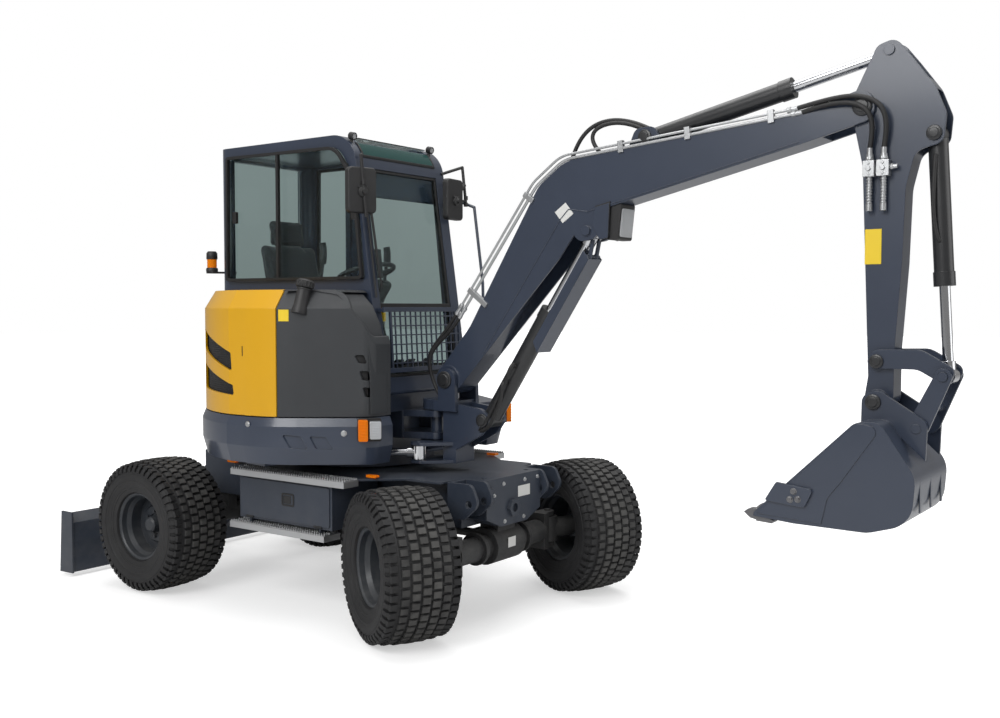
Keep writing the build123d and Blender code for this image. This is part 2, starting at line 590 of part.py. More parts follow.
def engine_hood():
    """The hood swings about a post at its left front corner, so its right lip stands off the cab."""
    rear = box(-1200, HOOD_SPLIT_X - 3, -1200, 0, SKIRT_TOP, HOOD_TOP + 10)
    rear += box(-1200, HOOD_LEFT_X, -10, 1200, SKIRT_TOP, HOOD_TOP + 10)
    hood = (whole & rear) - floor_plate([(CAB_REAR - 12, CAB_RIGHT - HOOD_GAP, 92), (900, CAB_RIGHT - HOOD_GAP),
                                        (900, 0),
                                        (CAB_REAR - 12, 0)], SKIRT_TOP, HOOD_TOP + 10)
    x, y = HOOD_HINGE
    for z in (1180, 1600):
        knuckle_z = (z, z + 60)
        arm = box(x - 60, x - 8, y - 14, y + 4, *knuckle_z) & plan(HOOD_INSET, *knuckle_z)
        hood += arm + rod((x, y, z), (x, y, z + 60), 16)
        hood -= rod((x, y, z - 1), (x, y, z + 61), 8.4)
    for corners in HOOD_VENTS:
        hood -= side_plate([(*corner, 12) for corner in corners], -1000, -500)
    x0, x1, z0, z1 = LOCK_SLOT
    return hood - box(x0, x1, -1000, -850, z0, z1)


def side_panels():
    shape = side_plate([(HOOD_SPLIT_X + 3, SKIRT_TOP + 6), (HOOD_SPLIT_X + 3, HOOD_TOP + 5),
                        (440, HOOD_TOP + 5, 160), (560, 1600, 140), (640, 1350), (640, SKIRT_TOP + 6)], -1000, -300)
    panel = whole & shape
    for corners in PANEL_VENTS:
        panel -= side_plate([(*corner, 8) for corner in corners], -1000, -545)
    return panel


save(engine_hood(), "engine_hood")
save(group(side_panels().solids()), "side_panels")
save(box(-650, -300, -160, 40, 900, 1150), "engine_block")


# ------------------------------------------------------------------ cab
def pillar_x(z):
    """The front face of the cab at height z."""
    return PILLAR_FOOT + (PILLAR_TOP - PILLAR_FOOT) * (z - CAB_FLOOR) / (CAB_ROOF - CAB_FLOOR)


def cab_side(inset):
    return [(CAB_REAR + inset, CAB_STEP + inset), (CAB_REAR + inset, CAB_ROOF - inset, 40),
            (PILLAR_TOP - inset, CAB_ROOF - inset, 180 - inset / 2), (PILLAR_FOOT - inset, CAB_FLOOR + inset, 20),
            (CAB_STEP_X + inset, CAB_FLOOR + inset), (CAB_STEP_X + inset, CAB_STEP + inset)]


WINDOW = [(-722, 1852, 20), (-712, 2600, 20), (200, 2590, 130), (340, 2400, 100), (398, 1850, 20)]
DOOR = [(-400, 1530, 60), (-400, 2600, 60), (190, 2595, 140), (345, 2350, 100), (470, 1262, 60), (-120, 1262, 60)]


def shrink(corners, gap, centre):
    """An outline drawn in by about gap on every side of its centre (u, v)."""
    return [(c[0] + math.copysign(gap, centre[0] - c[0]), c[1] + math.copysign(gap, centre[1] - c[1]), *c[2:])
            for c in corners]


DOOR_HINGE_Z = (1640, 2400)


def cab_frame():
    cab = side_plate(cab_side(0), CAB_RIGHT, CAB_LEFT)
    cab &= cab_plan(0, CAB_FLOOR, CAB_ROOF)
    room = side_plate(cab_side(CAB_WALL), CAB_RIGHT + CAB_WALL, CAB_LEFT - CAB_WALL)
    cab -= room & cab_plan(-CAB_WALL, CAB_FLOOR, CAB_ROOF)
    cab -= side_plate(WINDOW, CAB_RIGHT - 10, CAB_RIGHT + CAB_WALL + 10)
    cab -= side_plate(DOOR, CAB_LEFT - CAB_WALL - 10, CAB_LEFT + 10)
    cab -= side_plate([(-722, 1852, 20), (-712, 2600, 20), (-440, 2600, 20), (-440, 1852, 20)],
                      CAB_LEFT - CAB_WALL - 10, CAB_LEFT + 10)
    cab -= box(CAB_REAR - 10, CAB_REAR + CAB_WALL + 10, CAB_RIGHT + 100, CAB_LEFT - 100, 1852, 2590)
    cab -= box(320, 620, CAB_RIGHT + 65, CAB_LEFT - 75, 1310, 2470)
    cab -= box(0, 270, CAB_RIGHT + 90, CAB_LEFT - 90, CAB_ROOF - CAB_WALL - 5, CAB_ROOF + 5)
    lip = CAB_RIGHT - HOOD_GAP + 6
    cab += floor_plate([(-640, CAB_RIGHT + 5), (-560, lip), (HOOD_SPLIT_X - 4, lip), (HOOD_SPLIT_X - 4, CAB_RIGHT + 5)],
                       HOOD_TOP - SHEET, HOOD_TOP)
    x, y = DOOR_HINGE
    for z in DOOR_HINGE_Z:
        cab += rod((x, y, z + 71), (x, y, z + 105), 12)
        cab += box(x - 18, x, CAB_LEFT - 2, y + 6, z + 71, z + 105)
    return cab


def cab_glass():
    right = side_plate(shrink(WINDOW, 1, (-200, 2200)), CAB_RIGHT + 12, CAB_RIGHT + 17)
    left = side_plate([(-721, 1853, 20), (-711, 2599, 20), (-441, 2599, 20), (-441, 1853, 20)],
                      CAB_LEFT - 17, CAB_LEFT - 12)
    rear = box(CAB_REAR + 12, CAB_REAR + 17, CAB_RIGHT + 101, CAB_LEFT - 101, 1853, 2589)
    roof = box(1, 269, CAB_RIGHT + 91, CAB_LEFT - 91, CAB_ROOF - 17, CAB_ROOF - 12)
    panes = [right, left, rear, roof]
    for z0, z1 in ((1712, 2466), (1314, 1706)):
        slope = [(pillar_x(z0) - 18, z0), (pillar_x(z1) - 18, z1), (pillar_x(z1) - 13, z1), (pillar_x(z0) - 13, z0)]
        panes.append(side_plate(slope, CAB_RIGHT + 67, CAB_LEFT - 77))
    return group(panes)


def cab_door():
    door = side_plate(shrink(DOOR, 8, (0, 1900)), CAB_LEFT - 34, CAB_LEFT + 4)
    x, y = DOOR_HINGE
    for z in DOOR_HINGE_Z:
        door += rod((x, y, z), (x, y, z + 70), 12)
        door += box(x, x + 18, CAB_LEFT + 2, y + 6, z, z + 70)
    return door - side_plate(door_window(0), CAB_LEFT - 60, CAB_LEFT + 20)


def door_window(gap):
    return [(-345 + gap, 1600 + gap, 50), (-345 + gap, 2545 - gap, 50), (165 - gap, 2545 - gap, 120),
            (285 - gap, 2350, 100), (395 - gap, 1340 + gap, 50), (-95 + gap, 1340 + gap, 50)]


cab = cab_frame()
save(cab, "cab_frame")
save(cab_glass(), "cab_glass")
save(cab_door(), "cab_door")
save(side_plate(door_window(1), CAB_LEFT - 17, CAB_LEFT - 12), "cab_door_glass")
seat = box(-470, -80, -270, 170, CAB_STEP + CAB_WALL, 1640)
seat += box(-540, -470, -230, 130, 1560, 1640)
save(seat, "seat_base")
cushion = side_plate([(-470, 1640), (-470, 1735, 20), (-30, 1750, 40), (-30, 1650, 30)], -270, 170)
back = side_plate([(-470, 1700), (-560, 2080, 40), (-640, 2080, 40), (-560, 1640), (-470, 1640)], -260, 160)
head = side_plate([(-563, 2095, 20), (-590, 2250, 30), (-650, 2250, 30), (-640, 2095, 20)], -170, 70)
head += box(-625, -590, -110, -90, 2075, 2120) + box(-625, -590, -10, 10, 2075, 2120)
save(cushion + back + head, "seat_cushions")
consoles = []
for y0, y1 in ((-362, -285), (185, 262)):
    arm = side_plate([(-430, CAB_STEP + CAB_WALL), (-430, 1850, 30), (-60, 1870, 40), (0, 1840, 30), (-60, 1760, 40),
                      (-200, CAB_STEP + CAB_WALL)], y0, y1)
    arm += rod((-40, (y0 + y1) / 2, 1845), (-20, (y0 + y1) / 2, 1960), 11)
    arm += rod((-20, (y0 + y1) / 2, 1955), (-14, (y0 + y1) / 2, 2030), 20)
    consoles.append(arm)
save(group(consoles), "consoles")


# ------------------------------------------------------------------ fittings on the house
def bent(points, radius):
    """Round bars from point to point with a ball at each turn."""
    body = rod(points[0], points[1], radius)
    for start, end in zip(points[1:], points[2:]):
        body += rod(start, end, radius) + Pos(*start) * Sphere(radius)
    return body


GUARD = {"foot": (520, 1335), "lean": -3.2, "height": 362, "right": -345, "left": 275, "bar": 7}


def front_guard():
    """A grid of square bars in a flat frame, on four stubs from the cab's pillars."""
    bar, height, right, left = GUARD["bar"], GUARD["height"], GUARD["right"], GUARD["left"]
    grid = box(0, 12, CAB_RIGHT + 25, CAB_LEFT - 35, 0, 26) + box(0, 12, CAB_RIGHT + 25, CAB_LEFT - 35, height - 26, height)
    for y in (right, left - 14):
        grid += box(0, 12, y, y + 14, 0, height)
    uprights, rails = 14, 7
    for i in range(1, uprights):
        y = right + (left - right) * i / uprights
        grid += box(3, 3 + bar, y - bar / 2, y + bar / 2, 10, height - 10)
    for i in range(1, rails):
        z = height * i / rails
        grid += box(3, 3 + bar, right, left, z - bar / 2, z + bar / 2)
    grid = Pos(GUARD["foot"][0], 0, GUARD["foot"][1]) * Rot(0, GUARD["lean"], 0) * grid
    for y in (CAB_RIGHT + 28, CAB_LEFT - 62):
        for z0 in (GUARD["foot"][1] + 3, GUARD["foot"][1] + height - 26):
            grid += box(430, 512 if z0 < 1500 else 504, y, y + 24, z0, z0 + 20)
    return grid - cab


MIRRORS = [
    # centre (x, y, z), turn, and the points of its bracket
    ((480, -535, 2320), -17.5, [(345, -385, 2535), (495, -550, 2505), (511, -528, 2175)], (505, -535, 2270), (360, -410, 2262)),
    ((420, 335, 2343), 6.0, [(335, 325, 2500), (395, 458, 2550), (418, 462, 2335)], (418, 462, 2343), (418, 415, 2343)),
]


def mirrors():
    """Two housings with their dishes, clamps and bracket tubes."""
    pieces = []
    for centre, turn, tube_points, stay_start, stay_end in MIRRORS:
        shell = box(-19, 19, -86, 86, -122, 122)
        shell = fillet(shell.edges().filter_by(Axis.X), 26)
        shell = fillet(shell.faces().sort_by(Axis.X)[-1].edges(), 10)
        shell -= box(-25, -13, -78, 78, -114, 114)
        body = Pos(*centre) * Rot(0, 0, turn) * shell
        body += bent(tube_points, 9) + rod(stay_start, stay_end, 7)
        middle = [(a + b) / 2 for a, b in zip(tube_points[1], tube_points[2])]
        body += rod(centre, middle, 14)
        pieces.append(body - cab)
    return group(pieces)


def lamps():
    """Direction and position lamps on the skirt, roof lamps, and the beacon on its bracket."""
    pieces = []
    for side in (-1, 1):
        cluster = box(-10, 0, -62, 66, -62, 62)
        cluster += box(0, 46, -60, -8, -58, 58) + box(0, 40, 0, 62, -48, 48)
        pieces.append(Pos(594, side * 608, 1050) * Rot(0, 0, side * 42) * cluster - skirt)
    for y in (CAB_RIGHT + 62, CAB_LEFT - 60):
        head = rod((262, y, 2648), (300, y, 2640), 22) + rod((270, y, 2600), (270, y, 2640), 9)
        pieces.append(head - cab)
    x, y = -885, -415
    stand = rod((x, y, 1939), (x, y, 2020), 30) + rod((x, y, 2020), (x, y, 2046), 33) + rod((x, y, 1915), (x, y, 1940), 36)
    stand += floor_plate([(CAB_REAR, -330), (CAB_REAR, -280), (x - 30, y + 25), (x - 30, y - 25), (x + 30, y - 25)],
                         1905, 1916)
    pieces.append(stand - cab)
    return group(pieces)


def handrail():
    rail = bent([(350, 322, 2340), (370, 330, 2340), (370, 490, 2340), (442, 516, 2310), (515, 505, 1845),
                 (530, 495, 1590), (530, 360, 1500), (475, 320, 1500)], 9)
    return rail - cab


def filler_neck():
    neck = rod((280, -803, 1660), (290, -770, 1800), 38) + rod((289, -772, 1795), (293, -758, 1840), 46)
    return neck - shroud


save(front_guard(), "front_guard")
save(mirrors(), "mirrors")
save(lamps(), "lamps")
save(handrail(), "handrail")
save(filler_neck(), "filler_neck")


# ------------------------------------------------------------------ swing post and cylinder
def swing_post():
    x, y = SWING_AXIS
    post = rod((x, y, SWING_Z + 41), (x, y, POST_TOP), 35)
    post += rod((x, y, 1122), (x, y, POST_TOP), 80)
    for z0, z1 in ((SWING_Z - 57, SWING_Z - 41), (SWING_Z + 41, SWING_Z + 59)):
        post += floor_plate([(x - 30, y - 60, 60), (SWING_EYE[0] - 50, SWING_EYE[1] - 46, 46),
                             (SWING_EYE[0] + 50, SWING_EYE[1] - 46, 46), (x + 180, y - 82, 30), (x + 200, y + 82, 30),
                             (x + 60, y + 70, 60), (x - 60, y + 60, 60)], z0, z1)
    post += box(x + 108, x + 200, y - 82, y + 82, SWING_Z - 57, POST_TOP)
    post += box(x + 20, x + 200, y - 82, y + 82, 1122, POST_TOP)
    post += box(x + 60, x + 110, y - 108, y + 108, 1122, POST_TOP)
    for side in (-1, 1):
        ear = [(x + 92, 1122), (x + 92, BOOM_FOOT[1] + 60, 60), (BOOM_FOOT[0] + 68, BOOM_FOOT[1] + 62, 66),
               (BOOM_FOOT[0] + 75, 1122)]
        post += side_plate(ear, *sorted((y + side * 84, y + side * 108)))
        post += box(x + 92, BOOM_FOOT[0] + 75, y + side * 80, y + side * 108, 1122, POST_TOP)
        nose = [(x + 190, 905), (x + 190, 1165), (BOOM_CYL_BASE[0] - 10, BOOM_CYL_BASE[1] + 62, 50),
                (BOOM_CYL_BASE[0] + 58, BOOM_CYL_BASE[1] + 10, 50), (BOOM_CYL_BASE[0] - 10, 1000, 60)]
        post += side_plate(nose, *sorted((y + side * 58, y + side * 82)))
    for z in (SWING_Z - 62, SWING_Z + 41):
        post += rod((*SWING_EYE, z), (*SWING_EYE, z + 21), 19)
    post += pin_y(BOOM_FOOT, 32, y - 114, y + 114)
    post += pin_y(BOOM_CYL_BASE, 24.7, y - 90, y + 90)
    return post


def flat(piece_pair, base, eye, z):
    """Turn a cylinder built in the x-z plane so that it lies in the plane z."""
    length = math.dist(base, eye)
    angle = math.degrees(math.atan2(eye[1] - base[1], eye[0] - base[0]))
    return [Pos(base[0], base[1], z) * Rot(0, 0, angle) * Rot(90, 0, 0) * p for p in piece_pair]


save(swing_post(), "swing_post")
pair = hydraulic((0, 0), (math.dist(SWING_BASE, SWING_EYE), 0), 440, 143, (38, 22, 38, 19.7, 38), y=0)
barrel, stem = flat(pair, SWING_BASE, SWING_EYE, SWING_Z)
save(barrel, "swing_barrel")
save(stem, "swing_rod")


# ------------------------------------------------------------------ boom
def boom():
    y = BOOM_Y
    corners = [(672, 1330, 66), (899, 1590, 200), (1345, 2320, 160), (1508, 2438, 200), (2733, 2546), (3040, 2640, 70),
               (3066, 2500, 60), (2735, 2415), (1640, 2165, 140), (1468, 1938, 300), (820, 1250, 60), (700, 1215, 70)]
    body = side_plate(corners, y - BOOM_HALF, y + BOOM_HALF)
    inner = [(940, 1500), (1362, 2300, 150), (1515, 2420, 180), (2733, 2528), (2800, 2544), (2800, 2452), (2735, 2433),
             (1700, 2197), (1600, 2230, 30), (1490, 2210, 40)]
    body -= side_plate(inner, y - BOOM_HALF + 9, y + BOOM_HALF - 9)
    recess = [(925, 1330), (1478, 2155, 60), (1520, 2215, 40), (1600, 2218, 40), (1700, 2180), (1760, 2050), (1300, 1400),
              (980, 1200)]
    body -= side_plate(recess, y - BOOM_HALF + 9, y + BOOM_HALF - 9)
    body += ring_y(BOOM_FOOT, 80, 32.3, y - 80, y + 80)
    body -= pin_y(BOOM_FOOT, 32.3, y - 100, y + 100)
    body -= box(2830, 3200, y - 64, y + 64, 2300, 2800)
    body += pin_y(ARM_PIVOT, 28, y - 90, y + 90)
    for side in (-1, 1):
        ear = [(1540, 2090), (1590, 2025, 60), (BOOM_CYL_EYE[0] + 62, 2040, 60), (1730, 2200), (1600, 2200)]
        body += side_plate(ear, *sorted((y + side * 58, y + side * BOOM_HALF)))
        body += pin_y(BOOM_CYL_EYE, 25, *sorted((y + side * 54, y + side * 92)))
        ear = [(1860, 2460), (1905, 2565, 45), (2005, 2570, 45), (2060, 2470)]
        body += side_plate(ear, *sorted((y + side * 50, y + side * 68)))
    return body + pin_y(ARM_CYL_BASE, 22.7, y - 76, y + 76)


PIPE_PATH = [(865, 1690), (1332, 2323), (1502, 2446), (2698, 2551)]
PIPE_BEND = 190
PIPES = ((8.0, 0.0), (6.5, 20.0))
PIPE_Y = BOOM_Y - BOOM_HALF + 1
PIPE_CLAMPS = [
    # x, z, slope in degrees, depth towards the boom
    (925, 1770, 53.5, 110), (1290, 2264, 53.5, 30), (1832, 2474, 5, 20), (2190, 2506, 5, 20), (2600, 2542, 5, 20),
]


def boom_pipes(carrier):
    """Two steel pipes along the boom's back, the second above the first, with their clamps."""
    body = None
    for radius, rise in PIPES:
        line = FilletPolyline(*[(x - rise, PIPE_Y, z + rise) for x, z in PIPE_PATH], radius=PIPE_BEND)
        pipe = sweep(Plane(line @ 0, z_dir=line % 0) * Circle(radius), path=line)
        body = pipe if body is None else body + pipe
    for x, z, slope, depth in PIPE_CLAMPS:
        block = box(-14, 14, PIPE_Y - 11, PIPE_Y + 13, -depth, 38)
        body += Pos(x, 0, z) * Rot(0, -slope, 0) * block
    return body - carrier


def work_light(carrier):
    """A lamp in its guard under the boom."""
    y = BOOM_Y
    lamp = side_plate([(1758, 2195, 10), (1832, 2212, 10), (1812, 2030, 10), (1752, 2030, 10)], y - 70, y + 70)
    for side in (-1, 1):
        guard = [(1672, 2110), (1690, 2200), (1775, 2220), (1765, 2038, 12), (1716, 2032, 12)]
        lamp += side_plate(guard, *sorted((y + side * BOOM_HALF, y + side * (BOOM_HALF + 6))))
        lamp += side_plate([(1750, 2050), (1750, 2110), (1765, 2110), (1765, 2050)],
                           *sorted((y + side * 69, y + side * (BOOM_HALF + 1))))
    return lamp - carrier


whole_boom = boom()
save(whole_boom, "boom")
save(boom_pipes(whole_boom), "boom_pipes")
save(work_light(whole_boom), "work_light")
CYLINDERS = [
    # name, base pin, eye pin, reach, travel out, (barrel, rod, eye, pin radius, half width)
    ("boom", BOOM_CYL_BASE, BOOM_CYL_EYE, 715, 208, (50, 28, 44, 25.0, 50)),
    ("arm", ARM_CYL_BASE, ARM_CYL_EYE, 735, 152, (44, 25, 40, 23.0, 45)),
    ("bucket", BUCKET_CYL_BASE, ROCKER_EYE, 634, 187, (40, 22, 36, 21.0, 42)),
]
for name, base, eye, reach, travel_out, size in CYLINDERS:
    barrel, stem = hydraulic(base, eye, reach, travel_out, size)
    save(barrel, f"{name}_barrel")
    save(stem, f"{name}_rod")


def arm():
    y = BOOM_Y
    corners = [(2965, 2483, 60), (2960, 2600, 60), (3059, 2806, 45), (3135, 2828, 50), (3210, 2731, 150),
               (3300, 2607, 120), (3345, 2494, 60), (3335, 2375, 50), (3223, 2350, 60), (3186, 2200, 200), (3176, 1882),
               (3150, 1500), (3150, 1255, 60), (3020, 1255, 60), (3042, 1400), (3005, 2300, 100)]
    body = side_plate(corners, y - 58, y + 58)
    inner = [(3062, 2280), (3140, 2250), (3128, 1882), (3108, 1560), (3078, 1560)]
    body -= side_plate(inner, y - 50, y + 50)
    body -= box(2900, 3400, y - 48, y + 48, 2650, 2900)
    body -= box(3225, 3400, y - 48, y + 48, 2300, 2600)
    body -= pin_y(ARM_PIVOT, 28.3, y - 100, y + 100)
    body += ring_y(ROCKER_PIVOT, 45, 20.3, y - 60, y + 60)
    body -= pin_y(ROCKER_PIVOT, 20.3, y - 100, y + 100)
    body += ring_y(BUCKET_PIVOT, 50, 22.3, y - 70, y + 70)
    body -= pin_y(BUCKET_PIVOT, 22.3, y - 100, y + 100)
    for side in (-1, 1):
        body += pin_y(ARM_CYL_EYE, 23, *sorted((y + side * 49, y + side * 66)))
    return body + pin_y(BUCKET_CYL_BASE, 20.7, y - 66, y + 66)


VALVES = ((3042, 24), (3101, 26))


def arm_valves():
    """Two valve blocks on the arm's right face, each with a pipe below and a hose fitting above."""
    y = BOOM_Y - 58
    body = box(3020, 3125, y - 6, y, 2262, 2306)
    for x, half in VALVES:
        body += box(x - half, x + half, y - 45, y - 5, 2250, 2318)
        body += rod((x, y - 24, 2110), (x, y - 24, 2251), 10) + rod((x, y - 24, 2105), (x, y - 24, 2135), 14)
        body += rod((x, y - 24, 2317), (x, y - 24, 2372), 12) + rod((x, y - 24, 2325), (x, y - 24, 2345), 15)
    return body + rod((3126, y - 24, 2288), (3158, y - 24, 2288), 10)


save(arm(), "arm")
save(arm_valves(), "arm_valves")


def rocker():
    y = BOOM_Y
    x0, z0 = ROCKER_PIVOT
    x1, z1 = ROCKER_EYE
    body = None
    for side in (-1, 1):
        shape = [(x0 - 46, z0 - 30, 40), (x0 - 20, z0 + 50, 40), (x0 + 180, z0 + 55, 80), (x1 + 46, z1 + 30, 36),
                 (x1 + 20, z1 - 46, 36), (x0 + 170, z0 - 30, 80)]
        plate = side_plate(shape, *sorted((y + side * 65, y + side * 83)))
        plate += pin_y(ROCKER_EYE, 20, *sorted((y + side * 46, y + side * 112)))
        body = plate if body is None else body + plate
    return body + pin_y(ROCKER_PIVOT, 20, y - 90, y + 90)


def bucket_link():
    y = BOOM_Y
    x0, z0 = ROCKER_EYE
    x1, z1 = LINK_PIN
    body = None
    for side in (-1, 1):
        shape = [(x0 - 40, z0 - 10, 36), (x0 - 15, z0 + 45, 36), (x0 + 45, z0 + 15, 36), (x1 + 42, z1 - 12, 36),
                 (x1 + 10, z1 - 45, 36), (x1 - 42, z1 + 12, 36)]
        plate = side_plate(shape, *sorted((y + side * 88, y + side * 104)))
        plate -= pin_y(ROCKER_EYE, 20.3, -400, 400)
        body = plate if body is None else body + plate
    mid = along(ROCKER_EYE, LINK_PIN, 150)
    return body + pin_y(mid, 22, y - 90, y + 90)


BAND = 5.0


def bucket():
    y = BOOM_Y
    half = BUCKET_HALF
    shape = [(2610, 776), (2612, 792), (3050, 1215, 60), (3150, 1225, 60), (3300, 1005, 120), (3285, 812, 120),
             (3110, 758, 150), (2794, 762)]
    hollow = [(2540, 850), (2560, 796), (2794, 777), (3108, 772, 140), (3273, 824, 110), (3287, 1000, 110),
              (3145, 1205, 50), (3056, 1200, 50), (2960, 1190)]
    body = side_plate(shape, y - half, y + half) - side_plate(hollow, y - half + 12, y + half - 12)
    for side in (-1, 1):
        band = [(2628, 790), (3060, 1214), (3160, 1200, 60), (2995, 957), (2941, 888, 60), (2916, 774)]
        body += side_plate(band, *sorted((y + side * (half - 6), y + side * (half + BAND))))
        x0, z0 = BUCKET_PIVOT
        x1, z1 = LINK_PIN
        ear = [(x0 - 50, 1205), (x0 - 48, z0 + 30, 46), (x0 + 20, z0 + 52, 46), (x1 + 45, z1 + 30, 40),
               (x1 + 40, 1060), (x1 - 60, 1150), (x0 + 50, 1205)]
        body += side_plate(ear, *sorted((y + side * 108, y + side * 124)))
        body += pin_y(LINK_PIN, 20, *sorted((y + side * 107, y + side * 128)))
    return body + pin_y(BUCKET_PIVOT, 22, y - 130, y + 130)


TOOTH_COUNT = 4


def bucket_teeth(lip):
    """Adapters that clasp the lip, each with its point."""
    teeth = []
    pitch = (2 * BUCKET_HALF - 76) / (TOOTH_COUNT - 1)
    for i in range(TOOTH_COUNT):
        y = BOOM_Y - BUCKET_HALF + 38 + pitch * i
        adapter = side_plate([(2612, 806), (2700, 812, 10), (2705, 796), (2640, 786), (2700, 760), (2695, 748, 8),
                              (2620, 752)], y - 26, y + 26)
        point = side_plate([(2560, 786), (2580, 802, 10), (2640, 808), (2640, 752), (2590, 762)], y - 22, y + 22)
        teeth.append((adapter + point) - lip)
    return group(teeth)


save(rocker(), "rocker")
save(bucket_link(), "bucket_link")
whole_bucket = bucket()
save(whole_bucket, "bucket")
save(bucket_teeth(whole_bucket), "bucket_teeth")
cutters = []
for side in (-1, 1):
    plate = side_plate([(2668, 853, 8), (2720, 938, 8), (2885, 920, 14), (2846, 838, 14)],
                       *sorted((BOOM_Y + side * (BUCKET_HALF + BAND), BOOM_Y + side * (BUCKET_HALF + BAND + 14))))
    cutters.append(plate)
save(group(cutters), "side_cutters")
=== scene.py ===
# %% [markdown]
# # A wheeled excavator, dressed piece by piece
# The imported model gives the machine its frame: bodies that turn and slide on one another, and a
# plain solid for each part. This lesson lays the visible finish over that frame. It starts with a
# camera, a floor and light, goes on to the paints and metals, and then builds the tread, the
# lamps, the pipes and the other fittings on the bodies that carry them.

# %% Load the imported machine
import json
import math

import bmesh
import bpy
from mathutils import Matrix, Vector
from mathutils.geometry import tessellate_polygon


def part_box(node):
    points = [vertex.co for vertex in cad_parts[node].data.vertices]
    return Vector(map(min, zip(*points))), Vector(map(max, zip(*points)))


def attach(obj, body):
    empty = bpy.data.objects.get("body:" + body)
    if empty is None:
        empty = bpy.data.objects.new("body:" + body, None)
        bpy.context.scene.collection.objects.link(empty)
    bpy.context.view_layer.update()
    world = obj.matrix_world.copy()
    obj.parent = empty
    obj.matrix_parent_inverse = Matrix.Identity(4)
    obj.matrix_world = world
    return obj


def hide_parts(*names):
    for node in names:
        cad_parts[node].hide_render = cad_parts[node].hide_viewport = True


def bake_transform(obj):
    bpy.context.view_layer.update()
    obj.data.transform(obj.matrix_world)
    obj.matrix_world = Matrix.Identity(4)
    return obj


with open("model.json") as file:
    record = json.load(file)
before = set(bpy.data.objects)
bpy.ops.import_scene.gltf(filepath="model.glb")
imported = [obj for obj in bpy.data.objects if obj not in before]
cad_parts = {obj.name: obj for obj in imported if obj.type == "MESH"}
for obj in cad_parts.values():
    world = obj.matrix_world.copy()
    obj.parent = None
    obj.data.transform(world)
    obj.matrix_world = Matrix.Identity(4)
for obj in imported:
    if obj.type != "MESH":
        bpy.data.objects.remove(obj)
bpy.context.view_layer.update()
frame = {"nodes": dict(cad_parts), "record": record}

nodes = frame["nodes"]
joints = frame["record"]["behaviour"]["joints"]
pins = {j["name"]: Vector(j["pos_m"]) for j in joints if "pos_m" in j}
axes = {j["name"]: Vector(j["axis"]) for j in joints}

# %% [markdown]
# ## Camera
# A machine this long looks right from a little below eye height, from well off its front corner.
# The lens is a short portrait length, so the wheels and the bucket keep their true proportions.

# %% Set the camera
camera_data = bpy.data.cameras.new("camera")
camera_data.sensor_width = 36.0
camera_data.lens = 38.92
camera_data.clip_end = 200.0
camera = bpy.data.objects.new("camera", camera_data)
bpy.context.collection.objects.link(camera)
camera.location = (4.472, -4.814, 1.695)
camera.rotation_euler = (math.radians(87.272), 0.0, math.radians(35.735))
bpy.context.scene.camera = camera
bpy.context.scene.view_settings.view_transform = "Standard"
print("camera at", tuple(camera.location))

# %% [markdown]
# ## Floor and light
# Product pictures of plant are often cut out on white. A pale floor with a soft shadow does the
# same without hiding how the tyres stand. The world is bright, because open shade lights such a
# machine from all round, and three broad lamps model it: one from its right, one from above and
# a weak one from the front.

# %% A helper that places a node and fills its inputs
def put(tree, kind, ins=None, **settings):
    """Place a node; ins gives an input a plain value or the socket that feeds it."""
    node = tree.nodes.new(kind)
    for name, value in settings.items():
        setattr(node, name, value)
    for name, value in (ins or {}).items():
        if isinstance(value, bpy.types.NodeSocket):
            wire(tree, value, node.inputs[name])
        else:
            node.inputs[name].default_value = value
    return node


def wire(tree, source, target):
    tree.links.new(source, target)


# %% Light the studio
WHITE = (1.0, 1.0, 1.0, 1.0)
LOW_SKY = (0.42, 0.41, 0.40, 1.0)
world = bpy.data.worlds.new("pale studio")
bpy.context.scene.world = world
world.use_nodes = True
tree = world.node_tree
tree.nodes.clear()
path = put(tree, "ShaderNodeLightPath")
where = put(tree, "ShaderNodeTexCoord")
split = put(tree, "ShaderNodeSeparateXYZ", {"Vector": where.outputs["Generated"]})
height = put(tree, "ShaderNodeMapRange", {"Value": split.outputs["Z"], "From Min": -1.0})
ramp = put(tree, "ShaderNodeValToRGB", {"Fac": height.outputs["Result"]})
for stop, position, tone in zip(ramp.color_ramp.elements, (0.42, 0.95), (LOW_SKY, WHITE)):
    stop.position, stop.color = position, tone
lit = put(tree, "ShaderNodeBackground", {"Color": ramp.outputs["Color"], "Strength": 0.52})
seen = put(tree, "ShaderNodeBackground", {"Color": WHITE, "Strength": 1.0})
mix = put(tree, "ShaderNodeMixShader", {"Fac": path.outputs["Is Camera Ray"], 1: lit.outputs["Background"],
                                        2: seen.outputs["Background"]})
put(tree, "ShaderNodeOutputWorld", {"Surface": mix.outputs["Shader"]})


def broad_lamp(name, at, aim, size, power):
    """A square softbox that looks from one point at another."""
    data = bpy.data.lights.new(name, "AREA")
    data.shape = "SQUARE"
    data.size = size
    data.energy = power
    lamp = bpy.data.objects.new(name, data)
    bpy.context.collection.objects.link(lamp)
    lamp.location = at
    lamp.rotation_euler = (Vector(aim) - Vector(at)).to_track_quat("-Z", "Y").to_euler()


broad_lamp("key softbox", (1.5, -8.5, 6.5), (0.8, 0.0, 1.0), 5.0, 500.0)
broad_lamp("overhead softbox", (0.5, 1.0, 8.5), (0.8, 0.0, 0.8), 7.0, 380.0)
broad_lamp("front fill", (9.0, 1.5, 3.5), (0.8, 0.0, 1.2), 5.0, 120.0)

# %% [markdown]
# The floor is a grey diffuser. Seen directly it also glows a little, and the more the further it
# lies from the machine, so that it runs into the white background without a visible horizon.

